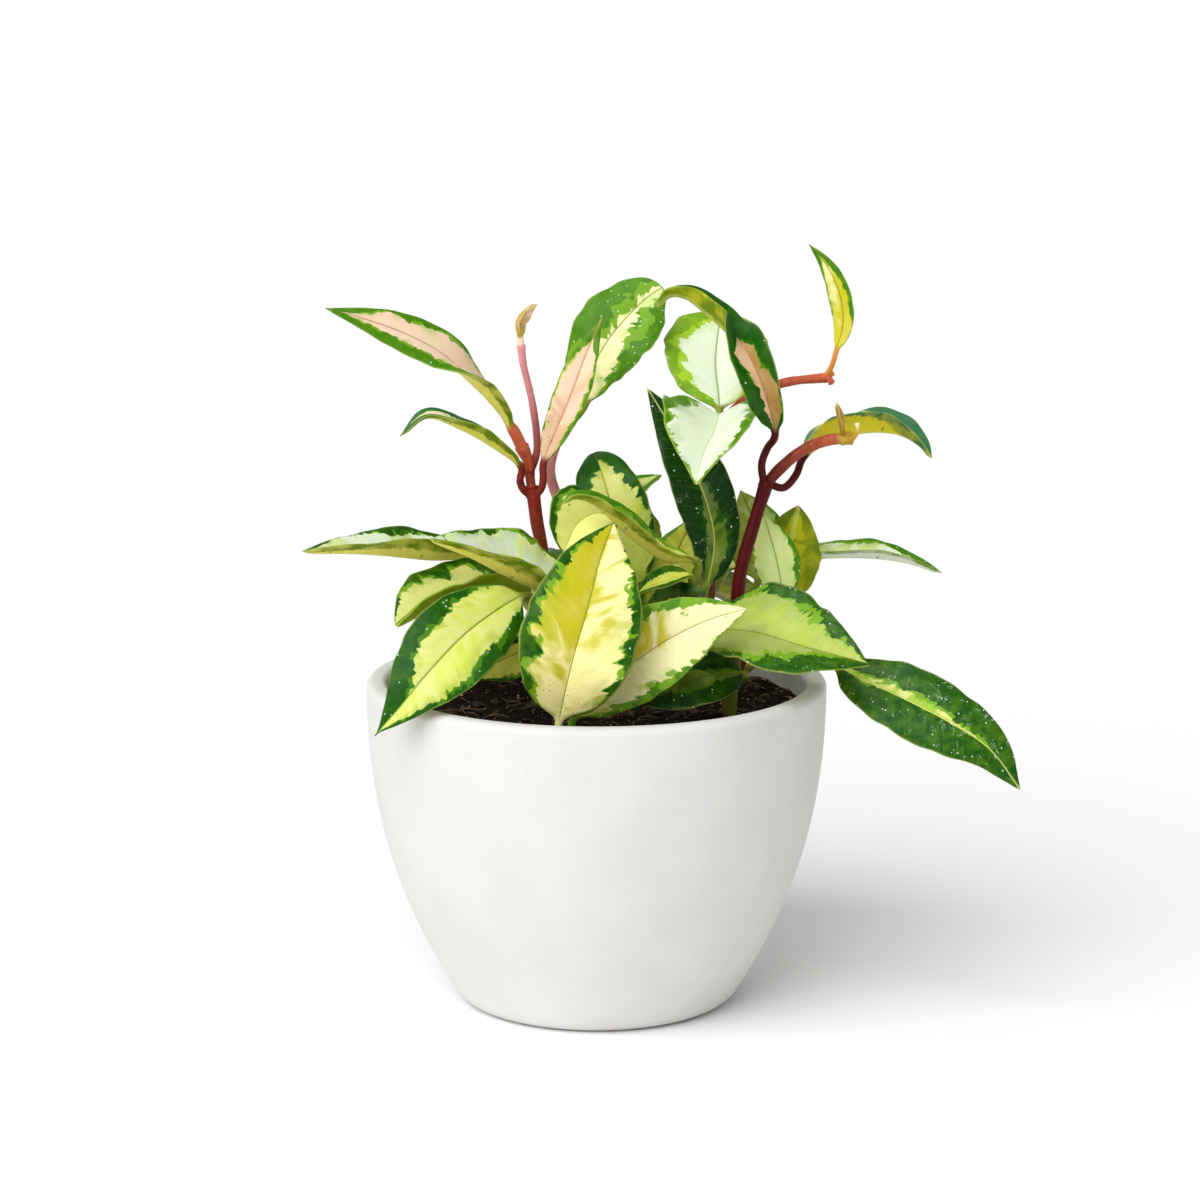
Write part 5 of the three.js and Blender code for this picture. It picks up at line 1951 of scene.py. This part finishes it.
def turned_mesh(name: str, profile: Sequence[Pair], segments: int) -> bpy.types.Mesh:
    """A closed solid of revolution about the vertical axis.

    Args:
        name: The mesh's name.
        profile: Radii and heights in millimetres, from the axis at one end to the axis at the other.
        segments: How many steps go round.

    Returns:
        The mesh.
    """
    inner = np.array(profile[1:-1], float) * MM
    angle = np.linspace(0, 2 * math.pi, segments, endpoint=False)
    flat = np.stack([np.cos(angle), np.sin(angle)], axis=1)
    rings = np.concatenate(
        [
            inner[:, None, :1] * flat[None],
            np.broadcast_to(inner[:, None, 1:], (len(inner), segments, 1)),
        ],
        axis=2,
    )
    mesh = skin_mesh(name, rings)
    for index, (_, height) in ((-2, profile[0]), (-1, profile[-1])):
        mesh.vertices[len(mesh.vertices) + index].co = (0.0, 0.0, height * MM)
    face_out(mesh)
    return mesh


@dataclass
class CeramicPot:
    """The white tapering pot, with a rounded lip and a softened foot. Sizes are in millimetres."""

    radius: float = 70
    height: float = 100
    taper: float = 28.4
    taper_power: float = 2.3
    foot_radius: float = 37
    corner_height: float = 4.5
    corner_fullness: float = 0.62
    corner_steps: int = 9
    wall: float = 6.4
    floor: float = 8
    floor_corner: Pair = (4, 3)
    floor_corner_middle: Pair = (1.2, 0.7)
    lip_round: float = 2.4
    lip_steps: int = 10
    segments: int = 192
    wall_steps: int = 40
    finish: GrainFinish = GrainFinish(
        "matt ceramic",
        Tint.CERAMIC,
        Tint.CERAMIC_SHADE,
        coarse=46,
        fine=2300,
        height=0.00011,
        roughness=(0.5, 0.6),
        gloss=Gloss(specular=0.2, subsurface=0.0),
    )

    def outer_radius(self, height: float) -> float:
        """The outside's radius at a height."""
        return self.radius - self.taper * (1 - height / self.height) ** self.taper_power

    def inner_radius(self, height: float) -> float:
        """The inside's radius at a height."""
        return self.outer_radius(height) - self.wall

    @property
    def floor_corner_top(self) -> float:
        """The height at which the inside's wall starts."""
        return self.floor + self.floor_corner[1]

    def _foot(self) -> list[Pair]:
        """Rounds the corner from the flat base to the wall.

        Returns:
            Radii and heights.
        """
        foot, top = self.foot_radius, self.outer_radius(self.corner_height)
        corner = Vector((foot + (top - foot) * self.corner_fullness, 0.0))
        shares = np.linspace(0, 1, self.corner_steps)
        start, end = Vector((foot, 0.0)), Vector((top, self.corner_height))
        points = [start * (1 - t) ** 2 + corner * 2 * t * (1 - t) + end * t * t for t in shares]
        return [tuple(point) for point in points]

    def _lip(self, centre: float, start: float, end: float) -> list[Pair]:
        """Rounds one side of the lip.

        Args:
            centre: The rounding's centre, as a radius of the pot.
            start: The angle at which it starts.
            end: The angle at which it ends.

        Returns:
            Radii and heights.
        """
        top, turn = self.height - self.lip_round, self.lip_round
        angles = np.linspace(start, end, self.lip_steps)
        return [(centre + turn * math.cos(a), top + turn * math.sin(a)) for a in angles]

    def build(self, grain: GrainPattern) -> None:
        """Builds and dresses the pot.

        Args:
            grain: The shader group with fine grain.
        """
        top = self.height - self.lip_round
        wall = [(self.outer_radius(z), z) for z in np.linspace(self.corner_height, top, self.wall_steps)]
        low = self.floor_corner_top
        inside = [(self.inner_radius(z), z) for z in np.linspace(top, low, self.wall_steps)]
        edge = self.inner_radius(low)
        (middle_in, middle_up), (corner_in, _) = self.floor_corner_middle, self.floor_corner
        profile = [
            (0, 0),
            *self._foot(),
            *wall[1:],
            *self._lip(self.outer_radius(top) - self.lip_round, 0, math.pi / 2)[1:],
            *self._lip(self.inner_radius(top) + self.lip_round, math.pi / 2, math.pi)[:-1],
            *inside,
            (edge - middle_in, self.floor + middle_up),
            (edge - corner_in, self.floor),
            (0, self.floor),
        ]
        mesh = turned_mesh("pot_skin", profile, self.segments)
        mesh.materials.append(self.finish.make(grain))
        add_piece("pot_detailed", mesh, Slot.CERAMIC, "pot")


class Litter(Enum):
    """What lies scattered on the potting mix."""

    CHIPS = "chips"
    FIBRES = "fibres"
    CRUMBS = "crumbs"
    GRIT = "grit"


@dataclass(frozen=True)
class Scatter:
    """How one kind of litter is spread."""

    kind: Litter
    density: float
    size: float
    lie: float
    seed: int
    finish: GrainFinish


@dataclass
class PottingMix:
    """The dark mix: a rough closed body in the pot, and bark, fibre, crumbs and grit on it."""

    pot: CeramicPot
    top: float = 91
    gap: float = 0.3
    relief: float = 1.5
    level_width: float = 4
    level_share: float = 0.25
    litter_depth: float = 3
    wall_rings: int = 12
    rings: int = 64
    segments: int = 150
    clods: tuple[tuple[float, float, float], ...] = ((9, 3.3, 1.1), (3.2, 8.1, 0.8), (1.3, 1.7, 0.45))
    finish: GrainFinish = GrainFinish(
        "potting mix",
        Tint.MIX_DARK,
        Tint.MIX_BROWN,
        coarse=520,
        fine=1900,
        height=0.0009,
        roughness=(0.75, 0.95),
        gloss=Gloss(specular=0.2),
    )
    scatters: tuple[Scatter, ...] = (
        Scatter(
            Litter.CHIPS,
            density=26000,
            size=1.5 * MM,
            lie=0.75,
            seed=4,
            finish=GrainFinish(
                "bark chips", Tint.MIX_BROWN, Tint.BARK, coarse=700, fine=2400, height=0.0004,
                roughness=(0.45, 0.8), streak=0.4,
            ),
        ),
        Scatter(
            Litter.FIBRES,
            density=20000,
            size=3.2 * MM,
            lie=0.9,
            seed=9,
            finish=GrainFinish(
                "coir fibres", Tint.MIX_BROWN, Tint.FIBRE, coarse=300, fine=3000, height=0.0001,
                roughness=(0.35, 0.6),
            ),
        ),
        Scatter(
            Litter.CRUMBS,
            density=70000,
            size=0.75 * MM,
            lie=0.2,
            seed=12,
            finish=GrainFinish(
                "peat crumbs", Tint.MIX_DARK, Tint.MIX_BROWN, coarse=500, fine=2600, height=0.0004,
                roughness=(0.7, 0.95),
            ),
        ),
        Scatter(
            Litter.GRIT,
            density=24000,
            size=0.4 * MM,
            lie=0.0,
            seed=21,
            finish=GrainFinish(
                "tan grit", Tint.BARK_LIGHT, Tint.GRIT, coarse=900, fine=3000, height=0.0001,
                roughness=(0.5, 0.8),
            ),
        ),
    )

    def _surface_height(self, x: float, y: float, radius: float, edge: float) -> float:
        """Works out the rough surface's height in millimetres, nearly level where it meets the pot.

        Args:
            x: The place across.
            y: The place in depth.
            radius: How far it is from the middle.
            edge: The surface's own radius.

        Returns:
            The height.
        """
        clods = [noise.noise(Vector((x / size, y / size, at))) * rise for size, at, rise in self.clods]
        level = min(1, (edge - radius) / self.level_width + self.level_share)
        return self.top + self.relief * sum(clods) * level

    def _body(self) -> bpy.types.Mesh:
        """Makes the mix's closed body.

        Returns:
            The mesh.
        """
        pot = self.pot
        heights = np.linspace(pot.floor + self.gap, self.top, self.wall_rings)
        wall = [(pot.inner_radius(max(z, pot.floor_corner_top)) - self.gap, z) for z in heights]
        wall[0] = (wall[0][0] - pot.floor_corner[0], wall[0][1])
        edge = wall[-1][0]
        profile = [*wall, *((edge * share, None) for share in np.linspace(1, 0, self.rings)[1:-1])]
        rings = []
        for radius, height in profile:
            ring = []
            for angle in np.linspace(0, 2 * math.pi, self.segments, endpoint=False):
                x, y = radius * math.cos(angle), radius * math.sin(angle)
                z = self._surface_height(x, y, radius, edge) if height is None else height
                ring.append((x * MM, y * MM, z * MM))
            rings.append(ring)
        mesh = skin_mesh("mix_skin", np.array(rings))
        face_out(mesh)
        return mesh

    def build(self, grain: GrainPattern) -> None:
        """Builds the body and scatters the litter on it.

        Args:
            grain: The shader group with fine grain.
        """
        body = self._body()
        body.materials.append(self.finish.make(grain))
        soil = add_piece("soil_detailed", body, Slot.MIX, "soil")
        for scatter in self.scatters:
            mesh = self._scattered(soil, scatter, scatter.finish.make(grain))
            mesh.shade_smooth()
            add_piece(f"mix_{scatter.kind.value}", mesh, Slot.MIX)

    def _scattered(
        self, soil: bpy.types.Object, scatter: Scatter, material: bpy.types.Material
    ) -> bpy.types.Mesh:
        """Spreads one kind of litter with a Geometry Nodes tree on a copy of the body.

        Args:
            soil: The mix's body.
            scatter: How the litter is spread.
            material: The litter's material.

        Returns:
            The litter as a plain mesh.
        """
        carrier = bpy.data.objects.new("carrier", soil.data.copy())
        bpy.context.scene.collection.objects.link(carrier)
        modifier = carrier.modifiers.new("litter", "NODES")
        tree = litter_tree(scatter.kind)
        modifier.node_group = tree
        values = {
            "Density": scatter.density,
            "Size": scatter.size,
            "Lie": scatter.lie,
            "Seed": scatter.seed,
            "Lowest": (self.top - self.litter_depth) * MM,
            "Material": material,
        }
        for item in tree.interface.items_tree:
            if item.item_type == "SOCKET" and item.in_out == "INPUT" and item.name in values:
                modifier[item.identifier] = values[item.name]
        evaluated = carrier.evaluated_get(bpy.context.evaluated_depsgraph_get())
        mesh = bpy.data.meshes.new_from_object(evaluated)
        mesh.name = f"mix_{scatter.kind.value}_skin"
        bpy.data.objects.remove(carrier)
        return mesh


FIBRE_STEPS = 7
FIBRE_BENDS = ((-1.0, 0.0, 0.0), (-0.4, 0.5, 0.35), (0.5, -0.5, 0.3), (1.0, 0.1, 0.0))
FIBRE_SIDES = 5
FIBRE_RADIUS = 0.05
LUMP_NOISE = 0.9
LUMP_ROUGHNESS = 1.4
CHIP_STRETCH = (1.3, 0.7, 0.32)
CRUMB_STRETCH = (1.0, 0.85, 0.75)


def litter_shape(graph: Graph, kind: Litter) -> Socket:
    """One piece of litter at size 1.

    Args:
        graph: The tree's graph.
        kind: What it is.

    Returns:
        The geometry's socket.
    """
    if kind is Litter.FIBRES:
        curve = graph.add("GeometryNodeCurvePrimitiveBezierSegment", FIBRE_STEPS, *FIBRE_BENDS)
        profile = graph.add("GeometryNodeCurvePrimitiveCircle", FIBRE_SIDES)
        graph.feed(profile.inputs["Radius"], FIBRE_RADIUS)
        tube = graph.add("GeometryNodeCurveToMesh", curve.outputs[0], profile.outputs[0], 1.0, True)
        return tube.outputs[0]
    chip = kind is Litter.CHIPS
    ball = graph.add("GeometryNodeMeshIcoSphere", 1.0, 2 if chip else 1)
    position = graph.add("GeometryNodeInputPosition").outputs[0]
    bumps = graph.add("ShaderNodeTexNoise", position)
    bumps.inputs["Scale"].default_value = LUMP_NOISE
    bump = bumps.outputs["Color"]
    shift = graph.add("ShaderNodeVectorMath", bump, (0.5, 0.5, 0.5), operation="SUBTRACT")
    moved = graph.add("ShaderNodeVectorMath", shift.outputs[0], operation="SCALE")
    graph.feed(moved.inputs["Scale"], LUMP_ROUGHNESS)
    rough = graph.add("GeometryNodeSetPosition", ball.outputs[0], None, None, moved.outputs[0])
    return scaled(graph, rough.outputs[0], CHIP_STRETCH if chip else CRUMB_STRETCH)


def scaled(graph: Graph, geometry: Socket, scale: tuple[float, float, float]) -> Socket:
    """A geometry stretched by a scale.

    Args:
        graph: The tree's graph.
        geometry: What is scaled.
        scale: By how much, on each axis.

    Returns:
        The scaled geometry.
    """
    node = graph.add("GeometryNodeTransform", geometry)
    node.inputs["Scale"].default_value = scale
    return node.outputs[0]


def random_value(graph: Graph, kind: str, low: object, high: object, seed: Socket, shift: int) -> Socket:
    """A random value for each point, from its own seed.

    Args:
        graph: The tree's graph.
        kind: FLOAT or FLOAT_VECTOR.
        low: The lowest value.
        high: The highest value.
        seed: The tree's seed.
        shift: What sets this value's draw apart from the others.

    Returns:
        The value's socket.
    """
    node = graph.add("FunctionNodeRandomValue", data_type=kind)
    first = 0 if kind == "FLOAT_VECTOR" else 2
    graph.feed(node.inputs[first], low)
    graph.feed(node.inputs[first + 1], high)
    graph.feed(node.inputs["Seed"], graph.plus(seed, float(shift)))
    return node.outputs[0 if kind == "FLOAT_VECTOR" else 1]


STEEPEST = 0.3
TILT_LOOSE = 1.5
TURNS = ((-1.0, -1.0, -3.14), (1.0, 1.0, 3.14))
SIZES = (0.45, 1.35)


def litter_tree(kind: Litter) -> bpy.types.NodeTree:
    """A Geometry Nodes tree that spreads one kind of litter over the mix's surface.

    Args:
        kind: What is spread.

    Returns:
        The tree.
    """
    takes = {
        "Geometry": (GEOMETRY, None),
        "Density": (FLOAT, 1000.0),
        "Size": (FLOAT, MM),
        "Lie": (FLOAT, 0.5),
        "Seed": ("NodeSocketInt", 0),
        "Lowest": (FLOAT, 0.0),
        "Material": ("NodeSocketMaterial", None),
    }
    gives = {"Geometry": GEOMETRY}
    tree, graph, sockets, out = new_group(f"scatter {kind.value}", "GeometryNodeTree", takes, gives)
    height = graph.parts(graph.add("GeometryNodeInputPosition").outputs[0])[2]
    high = graph.above(height, sockets["Lowest"])
    facing = graph.parts(graph.add("GeometryNodeInputNormal").outputs[0])[2]
    up = graph.above(facing, STEEPEST)
    chosen = graph.add("FunctionNodeBooleanMath", high, up, operation="AND")
    points = graph.add("GeometryNodeDistributePointsOnFaces", distribute_method="RANDOM")
    seed = sockets["Seed"]
    for label, value in (
        ("Mesh", sockets["Geometry"]),
        ("Selection", chosen.outputs[0]),
        ("Seed", seed),
        ("Density", sockets["Density"]),
    ):
        graph.feed(points.inputs[label], value)
    tilt = graph.affine(sockets["Lie"], -TILT_LOOSE, TILT_LOOSE)
    x, y, z = graph.parts(random_value(graph, "FLOAT_VECTOR", *TURNS, seed, 1))
    turn = graph.triple(graph.times(x, tilt), graph.times(y, tilt), z)
    rotation = graph.add("FunctionNodeEulerToRotation", turn).outputs[0]
    size = graph.times(random_value(graph, "FLOAT", *SIZES, seed, 2), sockets["Size"])
    placed = graph.add("GeometryNodeInstanceOnPoints")
    for label, value in (
        ("Points", points.outputs["Points"]),
        ("Instance", litter_shape(graph, kind)),
        ("Rotation", rotation),
        ("Scale", size),
    ):
        graph.feed(placed.inputs[label], value)
    real = graph.add("GeometryNodeRealizeInstances", placed.outputs[0])
    dressed = graph.add("GeometryNodeSetMaterial", real.outputs[0])
    graph.feed(dressed.inputs["Material"], sockets["Material"])
    graph.feed(out.inputs["Geometry"], dressed.outputs[0])
    return tree


@dataclass
class Studio:
    """A plain pale floor, soft light and the photograph's camera. Places are in metres."""

    camera_place: Point = (0.00107, -1.0739, 0.3381)
    pitch: float = 11.28
    focal_share: float = 3610 / 1200
    sensor: float = 36.0
    sky: float = 0.5
    sun: float = 2.4
    sun_spread: float = 55.0
    sun_turn: float = -33.0
    sun_height: float = 45.0
    floor_size: float = 24.0
    floor_specular: float = 0.1
    floor_roughness: float = 0.9
    sky_step: Pair = (-0.4, 0.9)
    sky_fall: float = 0.4
    sky_brightest: float = 1.15
    backdrop: float = 1.05

    def set_camera(self) -> None:
        """Makes the camera that sees what the photograph shows."""
        data = bpy.data.cameras.new("camera")
        data.sensor_width = self.sensor
        data.sensor_fit = "HORIZONTAL"
        data.lens = self.sensor * self.focal_share
        camera = bpy.data.objects.new("camera", data)
        camera.location = self.camera_place
        camera.rotation_euler = Euler((math.radians(90 - self.pitch), 0, 0))
        bpy.context.scene.collection.objects.link(camera)
        bpy.context.scene.camera = camera

    def _add_sun(self) -> None:
        """One wide soft light from the front left."""
        data = bpy.data.lights.new("softbox", "SUN")
        data.energy, data.angle = self.sun, math.radians(self.sun_spread)
        light = bpy.data.objects.new("softbox", data)
        turn = (math.radians(90 - self.sun_height), 0, math.radians(self.sun_turn))
        light.rotation_euler = Euler(turn)
        bpy.context.scene.collection.objects.link(light)

    def build(self) -> None:
        """Makes the floor, the sky and the lights."""
        half = self.floor_size / 2
        mesh = bpy.data.meshes.new("floor")
        corners = [(-half, -half, 0), (half, -half, 0), (half, half, 0), (-half, half, 0)]
        mesh.from_pydata(corners, [], [(0, 1, 2, 3)])
        material, _, shader = principled("pale floor", Gloss(specular=self.floor_specular))
        shader.inputs["Base Color"].default_value = Tint.FLOOR.linear
        shader.inputs["Roughness"].default_value = self.floor_roughness
        mesh.materials.append(material)
        floor = bpy.data.objects.new("floor", mesh)
        bpy.context.scene.collection.objects.link(floor)
        world = bpy.data.worlds.new("studio")
        world.use_nodes = True
        graph = Graph(world.node_tree)
        ray = graph.add("ShaderNodeLightPath").outputs["Is Camera Ray"]
        way = graph.add("ShaderNodeTexCoord").outputs["Generated"]
        side = graph.ramp(graph.parts(way)[0], *self.sky_step)
        sky = graph.times(graph.affine(side, -self.sky_fall, self.sky_brightest), self.sky)
        strength = graph.math("MAXIMUM", sky, graph.times(ray, self.backdrop))
        background = world.node_tree.nodes["Background"]
        graph.feed(background.inputs["Color"], (1, 1, 1, 1))
        graph.feed(background.inputs["Strength"], strength)
        bpy.context.scene.world = world
        self._add_sun()
        bpy.context.scene.view_settings.view_transform = "Standard"


def main() -> None:
    """Builds the scene in order."""
    logging.basicConfig(level=logging.INFO, format="%(name)s: %(message)s")
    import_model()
    studio = Studio()
    studio.set_camera()
    grain = GrainPattern()
    pot = CeramicPot()
    pot.build(grain)
    PottingMix(pot).build(grain)
    Shoots().build(grain)
    Foliage().build(BladePattern())
    studio.build()


if __name__ == "__main__":
    main()
